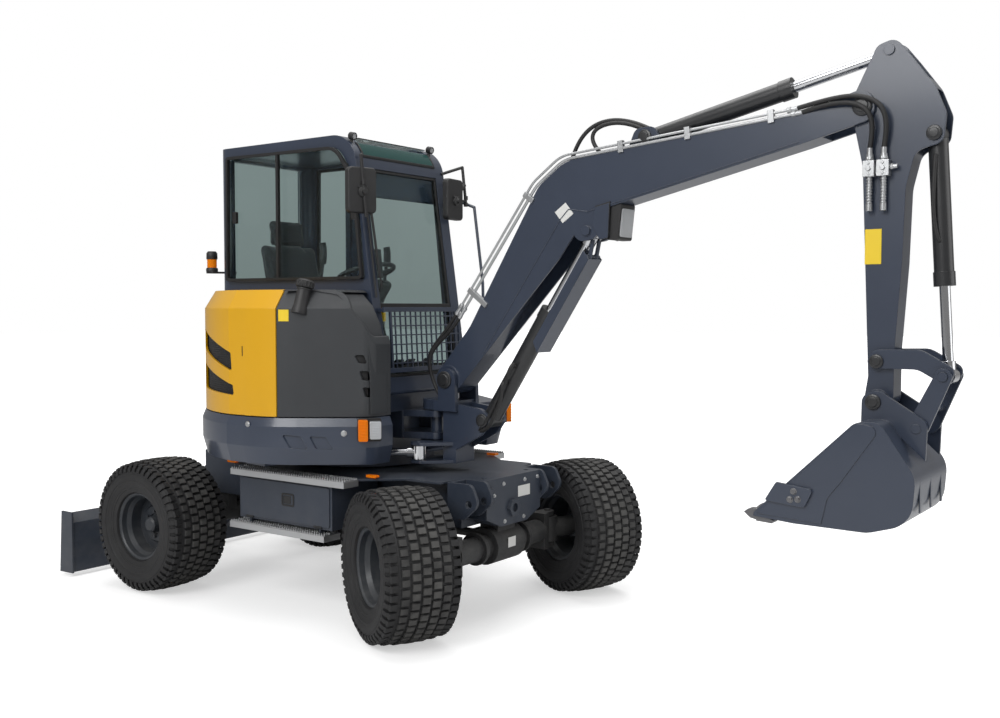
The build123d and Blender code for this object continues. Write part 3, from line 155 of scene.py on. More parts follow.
# %% Lay the floor
FLOOR_HALF = 60
floor_mesh = bpy.data.meshes.new("floor")
floor_mesh.from_pydata([(x * FLOOR_HALF, y * FLOOR_HALF, 0) for x,
                        y in ((-1, -1), (1, -1), (1, 1), (-1, 1))], [], [(0, 1, 2, 3)])
floor = bpy.data.objects.new("floor", floor_mesh)
bpy.context.collection.objects.link(floor)
floor_finish = bpy.data.materials.new("pale floor")
floor_finish.use_nodes = True
tree = floor_finish.node_tree
tree.nodes.clear()
path = put(tree, "ShaderNodeLightPath")
body = put(tree, "ShaderNodeBsdfDiffuse", {"Color": (0.72, 0.72, 0.72, 1.0)})
where = put(tree, "ShaderNodeTexCoord")
away = put(tree, "ShaderNodeVectorMath", {0: where.outputs["Object"]}, operation="LENGTH")
far = put(tree, "ShaderNodeMapRange", {"Value": away.outputs["Value"], "From Min": 2.5, "From Max": 8.0,
                                       "To Min": 0.50, "To Max": 1.1})
glow = put(tree, "ShaderNodeEmission", {"Strength": far.outputs["Result"]})
added = put(tree, "ShaderNodeAddShader", {0: body.outputs["BSDF"], 1: glow.outputs["Emission"]})
mix = put(tree, "ShaderNodeMixShader", {"Fac": path.outputs["Is Camera Ray"], 1: body.outputs["BSDF"],
                                        2: added.outputs["Shader"]})
put(tree, "ShaderNodeOutputMaterial", {"Surface": mix.outputs["Shader"]})
floor_mesh.materials.append(floor_finish)
print("floor laid")

# %% [markdown]
# ## Effects that several finishes share
# Paint, casting and plastic on a working machine have three things in common: dust that settles
# on what faces up, bare or polished edges, and a fine grain in the surface. Each is a node group
# with named inputs, so each finish can use it with its own values.

# %% Start a group with named sockets, and do sums in it
FLOAT, VECTOR, INT, FINISH = "NodeSocketFloat", "NodeSocketVector", "NodeSocketInt", "NodeSocketMaterial"
SHAPE = "NodeSocketGeometry"


def new_group(name, inputs, outputs, kind="ShaderNodeTree"):
    """inputs: (label, socket kind, default); outputs: (label, socket kind)."""
    tree = bpy.data.node_groups.new(name, kind)
    for label, socket_kind, value in inputs:
        socket = tree.interface.new_socket(label, in_out="INPUT", socket_type=socket_kind)
        if value is not None:
            socket.default_value = value
    for label, socket_kind in outputs:
        tree.interface.new_socket(label, in_out="OUTPUT", socket_type=socket_kind)
    return tree, tree.nodes.new("NodeGroupInput").outputs, tree.nodes.new("NodeGroupOutput")


def maths(tree, operation, first, *others):
    """Math nodes that take in one value after another; each is a socket or a plain number."""
    for value in others:
        first = put(tree, "ShaderNodeMath", {0: first, 1: value}, operation=operation).outputs["Value"]
    return first


def noise(tree, where, scale, detail, **ins):
    """A noise over the object's own coordinates."""
    ins = {"Vector": where.outputs["Object"], "Scale": scale, "Detail": detail, **ins}
    return put(tree, "ShaderNodeTexNoise", ins).outputs["Fac"]


# %% Dust: thicker on upward faces and near the ground
dust, given, result = new_group(
    "settled dust", [("Amount", FLOAT, 0.4), ("Reach", FLOAT, 0.6), ("Scale", FLOAT, 6.0)],
    [("Mask", FLOAT)])
where = put(dust, "ShaderNodeTexCoord")
shape = put(dust, "ShaderNodeNewGeometry")
up = put(dust, "ShaderNodeSeparateXYZ", {"Vector": shape.outputs["Normal"]})
place = put(dust, "ShaderNodeSeparateXYZ", {"Vector": where.outputs["Object"]})
cloud = noise(dust, where, given["Scale"], 6.0, Roughness=0.65)
upward = maths(dust, "MAXIMUM", maths(dust, "MULTIPLY", up.outputs["Z"], 0.75), 0.0)
low = maths(dust, "SUBTRACT", 1.0, maths(dust, "DIVIDE", place.outputs["Z"], given["Reach"]))
both = maths(dust, "ADD", upward, maths(dust, "MAXIMUM", low, 0.0), 0.12)
scaled = maths(dust, "MULTIPLY", cloud, cloud, both, given["Amount"], 2.4)
wire(dust, maths(dust, "MINIMUM", scaled, 0.85), result.inputs["Mask"])

# %% Edges: a rounded normal where two faces meet, and a mask of where the edge is
edges, given, result = new_group(
    "rounded edges", [("Radius", FLOAT, 0.004), ("Wear", FLOAT, 0.3)],
    [("Normal", VECTOR), ("Mask", FLOAT)])
round_over = put(edges, "ShaderNodeBevel", {"Radius": given["Radius"]}, samples=4)
shape = put(edges, "ShaderNodeNewGeometry")
compare = put(edges, "ShaderNodeVectorMath", {0: round_over.outputs["Normal"], 1: shape.outputs["Normal"]},
              operation="DOT_PRODUCT")
bent = maths(edges, "MULTIPLY", maths(edges, "SUBTRACT", 1.0, compare.outputs["Value"]), 6.0)
chips = noise(edges, put(edges, "ShaderNodeTexCoord"), 45.0, 5.0)
patchy = maths(edges, "MULTIPLY", maths(edges, "SUBTRACT", chips, 0.38), 3.5)
patchy = maths(edges, "MINIMUM", maths(edges, "MAXIMUM", patchy, 0.0), 1.0)
worn = maths(edges, "MULTIPLY", bent, patchy, given["Wear"])
wire(edges, maths(edges, "MINIMUM", worn, 1.0), result.inputs["Mask"])
wire(edges, round_over.outputs["Normal"], result.inputs["Normal"])

# %% Grain: the fine unevenness that a paint film or a casting has
grain, given, result = new_group(
    "surface grain", [("Scale", FLOAT, 300.0), ("Depth", FLOAT, 1.0)], [("Value", FLOAT), ("Tone", FLOAT)])
where = put(grain, "ShaderNodeTexCoord")
fine = noise(grain, where, given["Scale"], 3.0)
wire(grain, maths(grain, "MULTIPLY", fine, given["Depth"]), result.inputs["Value"])
wire(grain, noise(grain, where, 3.5, 4.0), result.inputs["Tone"])
print("shared effects:", [g.name for g in bpy.data.node_groups])


# %% [markdown]
# ## Finishes
# The structure is painted a dark slate, the rear hood a golden yellow. Barrels are nearly black,
# rods are chromed, steps and fittings are zinc plated. A single maker builds every solid finish
# from the shared effects: a tone that drifts over the surface, worn edges, dust, and a roughness
# and a bump that follow the grain.

# %% The maker of solid finishes
def place_group(tree, group, **values):
    return put(tree, "ShaderNodeGroup", values, node_tree=group)


def blend_colours(tree, mask, first, second):
    """Mix two colours by a mask; each is a socket or a plain colour."""
    node = put(tree, "ShaderNodeMix", {"Factor": mask}, data_type="RGBA")
    for name, value in (("A", first), ("B", second)):
        socket = next(s for s in node.inputs if s.name == name and s.type == "RGBA")
        if isinstance(value, tuple):
            socket.default_value = (*value, 1.0)
        else:
            wire(tree, value, socket)
    return next(s for s in node.outputs if s.type == "RGBA")


def spread(tree, value, low, high, start=0.0, stop=1.0):
    """Carry a value from one range to another."""
    ins = {"Value": value, "From Min": start, "From Max": stop, "To Min": low, "To Max": high}
    return put(tree, "ShaderNodeMapRange", ins).outputs["Result"]


def add_relief(tree, surface, height, distance, strength=0.5, **ins):
    """Tilt the surface's normal by the slope of a height."""
    ins = {"Height": height, "Distance": distance, "Strength": strength, **ins}
    wire(tree, put(tree, "ShaderNodeBump", ins).outputs["Normal"], surface.inputs["Normal"])


def new_finish(name):
    """An empty material with one Principled surface."""
    finish = bpy.data.materials.new(name)
    finish.use_nodes = True
    tree = finish.node_tree
    tree.nodes.clear()
    surface = tree.nodes.new("ShaderNodeBsdfPrincipled")
    put(tree, "ShaderNodeOutputMaterial", {"Surface": surface.outputs["BSDF"]})
    return finish, tree, surface


DUST_TONE = (0.20, 0.195, 0.185)


def solid_finish(name, colour, rough, metal=0.0, bare=None, wear=0.3, dusty=0.25, reach=0.7, edge=0.004,
                 grain_scale=260.0, depth=0.25, bump=0.00012, drift=0.12, coat=0.0):
    """A painted, cast or moulded finish. bare is what shows where the edges are worn."""
    finish, tree, surface = new_finish(name)
    rounded = place_group(tree, edges, Radius=edge, Wear=wear)
    fine = place_group(tree, grain, Scale=grain_scale, Depth=1.0)
    settled = place_group(tree, dust, Amount=dusty, Reach=reach, Scale=7.0)
    darker = tuple(c * (1 - drift) for c in colour)
    lighter = tuple(min(1.0, c * (1 + drift)) for c in colour)
    tone = blend_colours(tree, fine.outputs["Tone"], darker, lighter)
    worn = blend_colours(tree, rounded.outputs["Mask"], tone,
                         bare or tuple(min(1, c * 2 + 0.03) for c in colour))
    dusted = blend_colours(tree, settled.outputs["Mask"], worn, DUST_TONE)
    wire(tree, dusted, surface.inputs["Base Color"])
    sheen = maths(tree, "ADD", spread(tree, fine.outputs["Value"], rough - depth * 0.2,
                                      rough + depth * 0.2), maths(tree, "MULTIPLY", settled.outputs["Mask"],
                                          0.35))
    wire(tree, sheen, surface.inputs["Roughness"])
    surface.inputs["Metallic"].default_value = metal
    if coat:
        surface.inputs["Coat Weight"].default_value = coat
        surface.inputs["Coat Roughness"].default_value = 0.12
    add_relief(tree, surface, fine.outputs["Value"], bump, Normal=rounded.outputs["Normal"])
    return finish


# %% The solid finishes of this machine
slate_paint = solid_finish("slate paint", (0.030, 0.041, 0.068), 0.32, wear=0.20, dusty=0.08, reach=0.45,
                           coat=0.40, edge=0.005, bare=(0.11, 0.13, 0.16))
panel_charcoal = solid_finish("charcoal moulding", (0.030, 0.033, 0.037), 0.48, wear=0.15, dusty=0.12,
                              reach=0.4, edge=0.006, bare=(0.08, 0.085, 0.09))
slate_chassis = solid_finish("slate paint low down", (0.026, 0.035, 0.054), 0.40, wear=0.30, dusty=0.20,
                             reach=0.9, edge=0.005, bare=(0.12, 0.125, 0.13))
yellow_paint = solid_finish("golden yellow paint", (0.70, 0.365, 0.001), 0.34, wear=0.10, dusty=0.03,
                            reach=0.4, edge=0.006, coat=0.3, bare=(0.85, 0.55, 0.08), drift=0.05)
cast_dark = solid_finish("dark casting", (0.020, 0.021, 0.023), 0.55, wear=0.3, dusty=0.30, reach=0.9,
                         edge=0.006, grain_scale=120.0, depth=0.6, bump=0.0006, bare=(0.13, 0.12, 0.11))
rim_paint = solid_finish("rim paint", (0.017, 0.022, 0.030), 0.40, wear=0.25, dusty=0.22, reach=0.8,
                         edge=0.004)
barrel_black = solid_finish("barrel black", (0.016, 0.017, 0.019), 0.34, wear=0.2, dusty=0.25, reach=0.6,
                            coat=0.2)
chrome = solid_finish("rod chrome", (0.62, 0.63, 0.65), 0.10, metal=1.0, wear=0.0, dusty=0.05, reach=0.3,
                      depth=0.15, bump=0.00002, drift=0.04)
zinc = solid_finish("bright zinc plate", (0.52, 0.53, 0.54), 0.36, metal=0.9, wear=0.1, dusty=0.18,
                    reach=0.5, grain_scale=90.0, depth=0.5, bare=(0.6, 0.6, 0.6))
steel_worn = solid_finish("worn steel", (0.17, 0.17, 0.18), 0.40, metal=0.8, wear=0.8, dusty=0.35,
                          reach=1.2, bare=(0.5, 0.5, 0.5), depth=0.6, bump=0.0003)
hose_rubber = solid_finish("hose rubber", (0.012, 0.012, 0.013), 0.55, wear=0.1, dusty=0.3, reach=0.8,
                           grain_scale=500.0, depth=0.5, bump=0.0003)
black_plastic = solid_finish("black moulded plastic", (0.014, 0.014, 0.015), 0.50, wear=0.1, dusty=0.2,
                             reach=0.4, grain_scale=700.0, depth=0.5, bump=0.00025)
trim_grey = solid_finish("cab trim", (0.045, 0.046, 0.050), 0.62, wear=0.1, dusty=0.12, reach=0.3,
                         grain_scale=600.0, depth=0.5, bump=0.00025)
# This black is the seals' rubber. It also serves as painted shade behind the vents and in the step holes.
seal_black_and_painted_shade = solid_finish("window seal rubber and painted shade", (0.010, 0.010, 0.011), 0.60, wear=0.0, dusty=0.12, reach=0.3)
plate_white = solid_finish("bare white plate", (0.72, 0.72, 0.70), 0.45, wear=0.1, dusty=0.12, reach=0.4,
                           drift=0.04)
plate_yellow = solid_finish("bare yellow plate", (0.85, 0.60, 0.02), 0.42, wear=0.1, dusty=0.1, reach=0.4,
                            drift=0.04)
engine_paint = solid_finish("engine paint", (0.10, 0.11, 0.12), 0.55, wear=0.5, dusty=0.4, reach=2.2,
                            depth=0.6, bump=0.0004)
print("finishes:", len(bpy.data.materials))

# %% [markdown]
# ## Glass, cloth and rubber
# Safety glass on a cab has a green tint that shows best edge on, so a thin clear pane with a
# tinted colour is enough. Tyre rubber is black in the grooves and grey-brown with dried dust on
# the blocks, so its dust follows the distance from the hub and not the height above the ground.

# %% Glass and lamp lenses
def clear_finish(name, colour, rough=0.02, passes=1.0, glow=None):
    finish, tree, surface = new_finish(name)
    film = place_group(tree, dust, Amount=0.12, Reach=0.3, Scale=9.0)
    wire(tree, blend_colours(tree, film.outputs["Mask"], colour, tuple(c * 0.9 for c in colour)),
         surface.inputs["Base Color"])
    wire(tree, spread(tree, film.outputs["Mask"], rough, rough + 0.10), surface.inputs["Roughness"])
    surface.inputs["Transmission Weight"].default_value = passes
    surface.inputs["IOR"].default_value = 1.25
    if glow:
        surface.inputs["Emission Color"].default_value = (*glow, 1.0)
        surface.inputs["Emission Strength"].default_value = 0.06
    return finish


cab_tint = clear_finish("green tinted glass", (0.80, 0.915, 0.91))
amber_lens = clear_finish("amber lens", (1.0, 0.30, 0.01), rough=0.08, passes=0.45, glow=(1.0, 0.25, 0.0))
clear_lens = clear_finish("clear lens", (0.86, 0.88, 0.90), rough=0.06, passes=0.55)
red_lens = clear_finish("red lens", (0.75, 0.02, 0.01), rough=0.08, passes=0.35)
# The roof pane lies on the solid roof, so its dark green is the glass's tint plus painted shade for the dim
# cab behind it.
roof_pane_finish = clear_finish("roof pane glass", (0.035, 0.095, 0.088), rough=0.04, passes=0.3)
mirror_face = solid_finish("mirror face", (0.75, 0.77, 0.78), 0.05, metal=1.0, wear=0.0, dusty=0.05,
                           depth=0.05, drift=0.02, bump=0.00001)

# %% Woven seat cloth
seat_cloth, tree, surface = new_finish("woven seat cloth")
where = put(tree, "ShaderNodeTexCoord")
warp, weft = (put(tree, "ShaderNodeTexWave", {"Vector": where.outputs["Object"], "Scale": 160.0},
                  bands_direction=way).outputs["Fac"] for way in "YZ")
over = maths(tree, "MULTIPLY", warp, weft)
wire(tree, blend_colours(tree, over, (0.020, 0.021, 0.024), (0.060, 0.062, 0.070)),
     surface.inputs["Base Color"])
wire(tree, spread(tree, over, 0.75, 0.95), surface.inputs["Roughness"])
surface.inputs["Sheen Weight"].default_value = 0.25
add_relief(tree, surface, over, 0.0008, 0.6)


# %% Tyre rubber, dusty on the crown of its blocks
def tyre_finish(name, hub, axle):
    """hub is the wheel's centre and axle its axis; the blocks are the part furthest from it."""
    finish, tree, surface = new_finish(name)
    where = put(tree, "ShaderNodeTexCoord")
    far = where.outputs["Object"]
    for operation, by in (("SUBTRACT", hub), ("CROSS_PRODUCT", axle)):
        far = put(tree, "ShaderNodeVectorMath", {0: far, 1: by}, operation=operation).outputs["Vector"]
    far = put(tree, "ShaderNodeVectorMath", {0: far}, operation="LENGTH").outputs["Value"]
    crown = spread(tree, far, 0.0, 1.0, 0.380, 0.3915)
    patch = spread(tree, noise(tree, where, 14.0, 7.0), 0.35, 1.0, 0.3, 0.7)
    mask = maths(tree, "MULTIPLY", crown, maths(tree, "MULTIPLY", patch, 0.75))
    rubber = blend_colours(tree, patch, (0.007, 0.007, 0.008), (0.016, 0.016, 0.017))
    wire(tree, blend_colours(tree, mask, rubber, (0.105, 0.103, 0.098)), surface.inputs["Base Color"])
    wire(tree, spread(tree, mask, 0.62, 0.9), surface.inputs["Roughness"])
    add_relief(tree, surface, place_group(tree, grain, Scale=420.0, Depth=1.0).outputs["Value"], 0.0008)
    return finish


# %% Slot names listed by finish
slots_of = {
    "slate_paint": [slate_paint, slate_chassis, panel_charcoal, barrel_black, steel_worn],
    "black_plastic": [black_plastic, seal_black_and_painted_shade, trim_grey, hose_rubber, mirror_face],
    "lamp": [amber_lens, clear_lens, red_lens], "glass": [roof_pane_finish], "zinc": [zinc],
}
slot_of = {finish: slot for slot, finishes in slots_of.items() for finish in finishes}
print("finishes now:", len(bpy.data.materials))

# %% [markdown]
# ## Dress the solids
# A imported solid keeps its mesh, and only its finish is changed here. One table says which finish
# each solid takes.

# %% Hand out the finishes
dressed = {
    slate_paint: ["house_base", "counterweight", "cab_frame", "handrail", "side_cutters", "front_guard",
                  "cab_door", "swing_post", "boom", "arm", "rocker", "bucket_link", "bucket"],
    panel_charcoal: ["side_panels"],
    slate_chassis: ["chassis_frame", "front_crossmember", "side_boxes", "blade"],
    yellow_paint: ["engine_hood"],
    cast_dark: ["front_axle", "rear_axle", "knuckle_right", "knuckle_left", "drive_shaft", "tie_rod_right",
                "tie_rod_left"],
    rim_paint: ["rim_front_right", "rim_front_left", "rim_rear_right", "rim_rear_left"],
    barrel_black: ["boom_barrel", "arm_barrel", "bucket_barrel", "swing_barrel", "blade_barrel",
                   "steering_cylinder"],
    chrome: ["boom_rod", "arm_rod", "bucket_rod", "swing_rod", "blade_rod", "steering_rod"],
    zinc: ["side_steps", "boom_pipes", "arm_valves"],
    steel_worn: ["bucket_teeth"],
    engine_paint: ["engine_block"],
    black_plastic: ["seat_base", "mirrors", "work_light"],
    trim_grey: ["consoles"],
    cab_tint: ["cab_glass", "cab_door_glass"],
}
for finish, names in dressed.items():
    for name in names:
        mesh = nodes[name].data
        mesh.materials.clear()
        mesh.materials.append(finish)
print("solids dressed:", sum(len(v) for v in dressed.values()))

# %% [markdown]
# ## Tools for new pieces
# Most fittings on this machine are cut plate, bar, tube or turned parts. A few small makers for
# those shapes add their faces to one bmesh, so that a bracket of several plates is one piece. A
# light Bevel modifier then takes the sharpness off its edges.

# %% Plates, bars and turned shapes
def rounded(corners, steps=5):
    """Corners (u, v) or (u, v, radius) as a plain ring of points with real corner arcs."""
    ring = []
    for i, corner in enumerate(corners):
        here = Vector(corner[:2])
        if len(corner) < 3 or corner[2] <= 0:
            ring.append(tuple(here))
            continue
        a = Vector(corners[i - 1][:2]) - here
        b = Vector(corners[(i + 1) % len(corners)][:2]) - here
        half = a.angle(b) / 2
        cut = min(corner[2] / math.tan(half), 0.48 * a.length, 0.48 * b.length)
        radius = cut * math.tan(half)
        a.normalize()
        b.normalize()
        centre = here + (a + b).normalized() * radius / math.sin(half)
        first, last = here + a * cut - centre, here + b * cut - centre
        turn = first.angle_signed(last)
        for step in range(steps + 1):
            angle = -turn * step / steps
            spun = Vector((first.x * math.cos(angle) - first.y * math.sin(angle),
                           first.x * math.sin(angle) + first.y * math.cos(angle)))
            ring.append(tuple(centre + spun))
    return ring


def disc(u, v, radius, steps=16):
    """A round hole or outline as a ring of points."""
    return [(u + radius * math.cos(2 * math.pi * k / steps), v + radius * math.sin(2 * math.pi * k / steps))
            for k in range(steps)]


def oblong(u0, u1, v0, v1, radius=0.0):
    """The corners of a rectangle, all with one corner radius."""
    return [(u0, v0, radius), (u0, v1, radius), (u1, v1, radius), (u1, v0, radius)]


LIFT = {"xz": lambda u, v, w: (u, w, v), "xy": lambda u, v, w: (u, v, w), "yz": lambda u, v, w: (w, u, v)}


def add_plate(work, corners, low, high, plane="xz", holes=()):
    """A plate of any outline in a plane, from low to high across it, with holes through it."""
    loops = [rounded(corners)] + [list(h) for h in holes]
    lift = LIFT[plane]
    flat = [[Vector((u, v, 0)) for u, v in loop] for loop in loops]
    sides = []
    for level in (low, high):
        sides.append([[work.verts.new(lift(p.x, p.y, level)) for p in loop] for loop in flat])
    joined = [[v for loop in side for v in loop] for side in sides]
    for tri in tessellate_polygon(flat):
        for verts in joined:
            try:
                work.faces.new([verts[k] for k in tri])
            except ValueError:
                pass
    for lower, upper in zip(*sides):
        count = len(lower)
        for k in range(count):
            n = (k + 1) % count
            work.faces.new((lower[k], lower[n], upper[n], upper[k]))


def join_rows(work, rows):
    """Close a run of sections, each a ring of the same number of points, into one solid."""
    count = len(rows[0])
    for one, two in zip(rows, rows[1:]):
        for k in range(count):
            n = (k + 1) % count
            work.faces.new((one[k], one[n], two[n], two[k]))
    work.faces.new(rows[0])
    work.faces.new(list(reversed(rows[-1])))


def add_box(work, low, high):
    add_plate(work, [(low[0], low[1]), (high[0], low[1]), (high[0], high[1]), (low[0], high[1])],
              low[2], high[2], "xy")


def add_turned(work, profile, start, direction, steps=24):
    """Spin (distance, radius) points round a line. A radius of 0 closes the end."""
    turn = Vector(direction).to_track_quat("Z", "Y").to_matrix()
    start = Vector(start)
    rings = []
    for distance, radius in profile:
        if radius <= 1e-6:
            rings.append([work.verts.new(start + turn @ Vector((0, 0, distance)))])
            continue
        rings.append([work.verts.new(start + turn @ Vector((radius * math.cos(2 * math.pi * k / steps),
            radius * math.sin(2 * math.pi * k / steps), distance))) for k in range(steps)])
    for one, two in zip(rings, rings[1:]):
        for k in range(steps):
            n = (k + 1) % steps
            ring = [one[k % len(one)], one[n % len(one)], two[n % len(two)], two[k % len(two)]]
            clean = list(dict.fromkeys(ring))
            if len(clean) > 2:
                work.faces.new(clean)


def add_bar(work, start, end, radius, steps=16):
    """A round bar with slightly eased ends."""
    direction = Vector(end) - Vector(start)
    ease = min(radius * 0.15, 0.002)
    add_turned(work, [(0, 0), (0, radius - ease), (ease, radius), (direction.length - ease, radius),
                      (direction.length, radius - ease), (direction.length, 0)], start, direction, steps)


def finish_piece(name, work, finish, body, bevel=0.0, smooth=40.0):
    """Turn a bmesh into a finished piece that rides on a body."""
    bmesh.ops.remove_doubles(work, verts=work.verts, dist=1e-6)
    bmesh.ops.recalc_face_normals(work, faces=work.faces)
    mesh = bpy.data.meshes.new(name)
    work.to_mesh(mesh)
    work.free()
    return finish_mesh(name, mesh, finish, body, bevel=bevel, smooth=smooth)


def finish_mesh(name, mesh, finish, body, slot_name=None, bevel=0.0, smooth=40.0):
    """The same for a mesh. Its slot_name is not used."""
    piece = bpy.data.objects.new(name, mesh)
    bpy.context.collection.objects.link(piece)
    if not mesh.materials:
        mesh.materials.append(finish)
    else:
        mesh.materials[0] = finish
    if smooth:
        for face in mesh.polygons:
            face.use_smooth = True
        mesh.set_sharp_from_angle(angle=math.radians(smooth))
    if bevel:
        ease = piece.modifiers.new("eased edges", "BEVEL")
        ease.width = bevel
        ease.segments = 2
        ease.limit_method = "ANGLE"
        ease.angle_limit = math.radians(50)
    slot_name = slot_name or slot_of.get(finish)
    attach(piece, body)
    return piece


# %% Hoses and pipes along a smooth line
def along_line(points, radius, order=3, sides=4):
    """A round tube along a smooth line through space, as a plain mesh."""
    curve = bpy.data.curves.new("line", "CURVE")
    curve.dimensions = "3D"
    curve.bevel_depth = radius
    curve.bevel_resolution = sides
    curve.use_fill_caps = True
    curve.resolution_u = 8
    spline = curve.splines.new("NURBS")
    spline.points.add(len(points) - 1)
    for place, point in zip(points, spline.points):
        point.co = (*place, 1.0)
    spline.order_u = min(order, len(points))
    spline.use_endpoint_u = True
    holder = bpy.data.objects.new("line", curve)
    bpy.context.collection.objects.link(holder)
    bpy.context.view_layer.update()
    mesh = bpy.data.meshes.new_from_object(holder.evaluated_get(bpy.context.evaluated_depsgraph_get()))
    bpy.data.objects.remove(holder)
    bpy.data.curves.remove(curve)
    return mesh


def add_line(work, points, radius, order=3, sides=4):
    """Add a tube along a smooth line to a piece in the making."""
    mesh = along_line(points, radius, order, sides)
    work.from_mesh(mesh)
    bpy.data.meshes.remove(mesh)


print("tools ready")

# %% [markdown]
# ## Geometry Nodes for what repeats
# Tread blocks and bolts repeat by a rule. Each gets a node tree with named inputs. The tree ends
# in Realize Instances and Set Material, and its result is turned into a plain mesh, which then
# rides on a body like any other piece.

# %% Start a geometry tree, close it and turn its result into a mesh
def geometry_tree(name, inputs):
    return new_group(name, [("Geometry", SHAPE, None), *inputs], [("Geometry", SHAPE)], "GeometryNodeTree")


def close_tree(tree, given, result, shape):
    """Realize the instances, set the finish and hand the shape out."""
    real = put(tree, "GeometryNodeRealizeInstances", {"Geometry": shape})
    dress = put(tree, "GeometryNodeSetMaterial", {"Geometry": real.outputs["Geometry"],
                                                  "Material": given["Finish"]})
    wire(tree, dress.outputs["Geometry"], result.inputs["Geometry"])


def grow(tree, values, base=None):
    """Run a tree on a base mesh with the given input values, and return the plain mesh."""
    holder = bpy.data.objects.new("grower", base or bpy.data.meshes.new("seed"))
    bpy.context.collection.objects.link(holder)
    maker = holder.modifiers.new("maker", "NODES")
    maker.node_group = tree
    for item in tree.interface.items_tree:
        if item.in_out == "INPUT" and item.name in values:
            maker[item.identifier] = values[item.name]
    bpy.context.view_layer.update()
    mesh = bpy.data.meshes.new_from_object(holder.evaluated_get(bpy.context.evaluated_depsgraph_get()))
    bpy.data.objects.remove(holder)
    return mesh


# %% [markdown]
# ### Bolts
# A bolt head is a hexagon on a round washer. The seed mesh has one point for each bolt and an
# attribute that says which way the bolt looks.

# %% The bolt tree
bolts, given, result = geometry_tree(
    "bolt heads", [("Head", FLOAT, 0.010), ("Height", FLOAT, 0.007), ("Finish", FINISH, None)])
size, rise = given["Head"], given["Height"]
head = put(bolts, "GeometryNodeMeshCylinder", {"Vertices": 6, "Radius": size, "Depth": rise})
washer = put(bolts, "GeometryNodeMeshCylinder", {"Vertices": 16,
                                                 "Radius": maths(bolts, "MULTIPLY", size, 1.35),
                                                 "Depth": maths(bolts, "MULTIPLY", rise, 0.35)})
offset = put(bolts, "ShaderNodeCombineXYZ", {"Z": maths(bolts, "MULTIPLY", rise, 0.6)})
lift = put(bolts, "GeometryNodeTransform", {"Translation": offset.outputs["Vector"],
                                            "Geometry": head.outputs["Mesh"]})
both = put(bolts, "GeometryNodeJoinGeometry", {"Geometry": lift.outputs["Geometry"]})
wire(bolts, washer.outputs["Mesh"], both.inputs["Geometry"])
aim = put(bolts, "GeometryNodeInputNamedAttribute", {"Name": "aim"}, data_type="FLOAT_VECTOR")
turn = put(bolts, "FunctionNodeAlignRotationToVector", {"Vector": aim.outputs["Attribute"]}, axis="Z")
spots = put(bolts, "GeometryNodeInstanceOnPoints", {
    "Points": given["Geometry"], "Instance": both.outputs["Geometry"],
    "Rotation": turn.outputs["Rotation"]})
close_tree(bolts, given, result, spots.outputs["Instances"])


def bolt_set(name, places, body, head=0.010, height=0.007, finish=zinc):
    """places: (point, direction) pairs."""
    seed = bpy.data.meshes.new("bolt places")
    seed.from_pydata([p for p, _ in places], [], [])
    attribute = seed.attributes.new("aim", "FLOAT_VECTOR", "POINT")
    for k, (_, direction) in enumerate(places):
        attribute.data[k].vector = direction
    mesh = grow(bolts, {"Head": head, "Height": height, "Finish": finish}, seed)
    return finish_mesh(name, mesh, finish, body, smooth=30)


print("bolt tree ready")

# %% [markdown]
# ### Tyre tread
# These are turf tyres: about fifty rows of small brick-shaped blocks, each row shifted by half a
# block, on a low round crown. A grid of points is wrapped round the carcass, and each point
# carries one tapered block. The crown's fall towards the shoulders is a parabola.

# %% The tread tree
TREAD_ROWS = 50
tread, given, result = geometry_tree(
    "tread blocks", [("Rows", INT, TREAD_ROWS), ("Columns", INT, 7), ("Radius", FLOAT, 0.3935),
                     ("Width", FLOAT, 0.36),
                     ("Block", VECTOR, (0.036, 0.044, 0.014)), ("Crown", FLOAT, 0.016),
                     ("Finish", FINISH, None)])
rows, columns = given["Rows"], given["Columns"]
grid = put(tread, "GeometryNodeMeshGrid", {"Vertices X": rows, "Vertices Y": columns})
index = put(tread, "GeometryNodeInputIndex").outputs["Index"]
column = maths(tread, "FLOORED_MODULO", index, columns)
row = maths(tread, "FLOOR", maths(tread, "DIVIDE", index, columns), 0.0)
shifted = maths(tread, "ADD", row, maths(tread, "MULTIPLY", maths(tread, "FLOORED_MODULO", column, 2.0),
                                         0.5))
turned_by = maths(tread, "MULTIPLY", maths(tread, "DIVIDE", shifted, rows), 2 * math.pi)
side = maths(tread, "SUBTRACT", maths(tread, "DIVIDE", column, maths(tread, "SUBTRACT", columns, 1.0)), 0.5)
fall = maths(tread, "MULTIPLY", side, side, 4.0, given["Crown"])
block_size = put(tread, "ShaderNodeSeparateXYZ", {"Vector": given["Block"]})
reach = maths(tread, "SUBTRACT", given["Radius"], fall, maths(tread, "MULTIPLY", block_size.outputs["Z"],
    0.5))
spot = put(tread, "ShaderNodeCombineXYZ", {
    "X": maths(tread, "MULTIPLY", maths(tread, "SINE", turned_by, 0.0), reach),
    "Y": maths(tread, "MULTIPLY", side, given["Width"]),
    "Z": maths(tread, "MULTIPLY", maths(tread, "COSINE", turned_by, 0.0), reach)})
moved = put(tread, "GeometryNodeSetPosition", {"Geometry": grid.outputs["Mesh"],
                                               "Position": spot.outputs["Vector"]})
brick = put(tread, "GeometryNodeMeshCube", {"Size": given["Block"]})
top_z = put(tread, "ShaderNodeSeparateXYZ", {"Vector": put(tread,
                                                           "GeometryNodeInputNormal").outputs["Normal"]})
is_top = put(tread, "FunctionNodeCompare", {"A": top_z.outputs["Z"], "B": 0.5},
             data_type="FLOAT", operation="GREATER_THAN")
taper = put(tread, "GeometryNodeScaleElements", {
    "Scale": 0.86, "Geometry": brick.outputs["Mesh"], "Selection": is_top.outputs["Result"]})
facing = put(tread, "ShaderNodeCombineXYZ", {"X": maths(tread, "MULTIPLY", side, 0.28), "Y": turned_by})
stand = put(tread, "FunctionNodeEulerToRotation", {"Euler": facing.outputs["Vector"]})
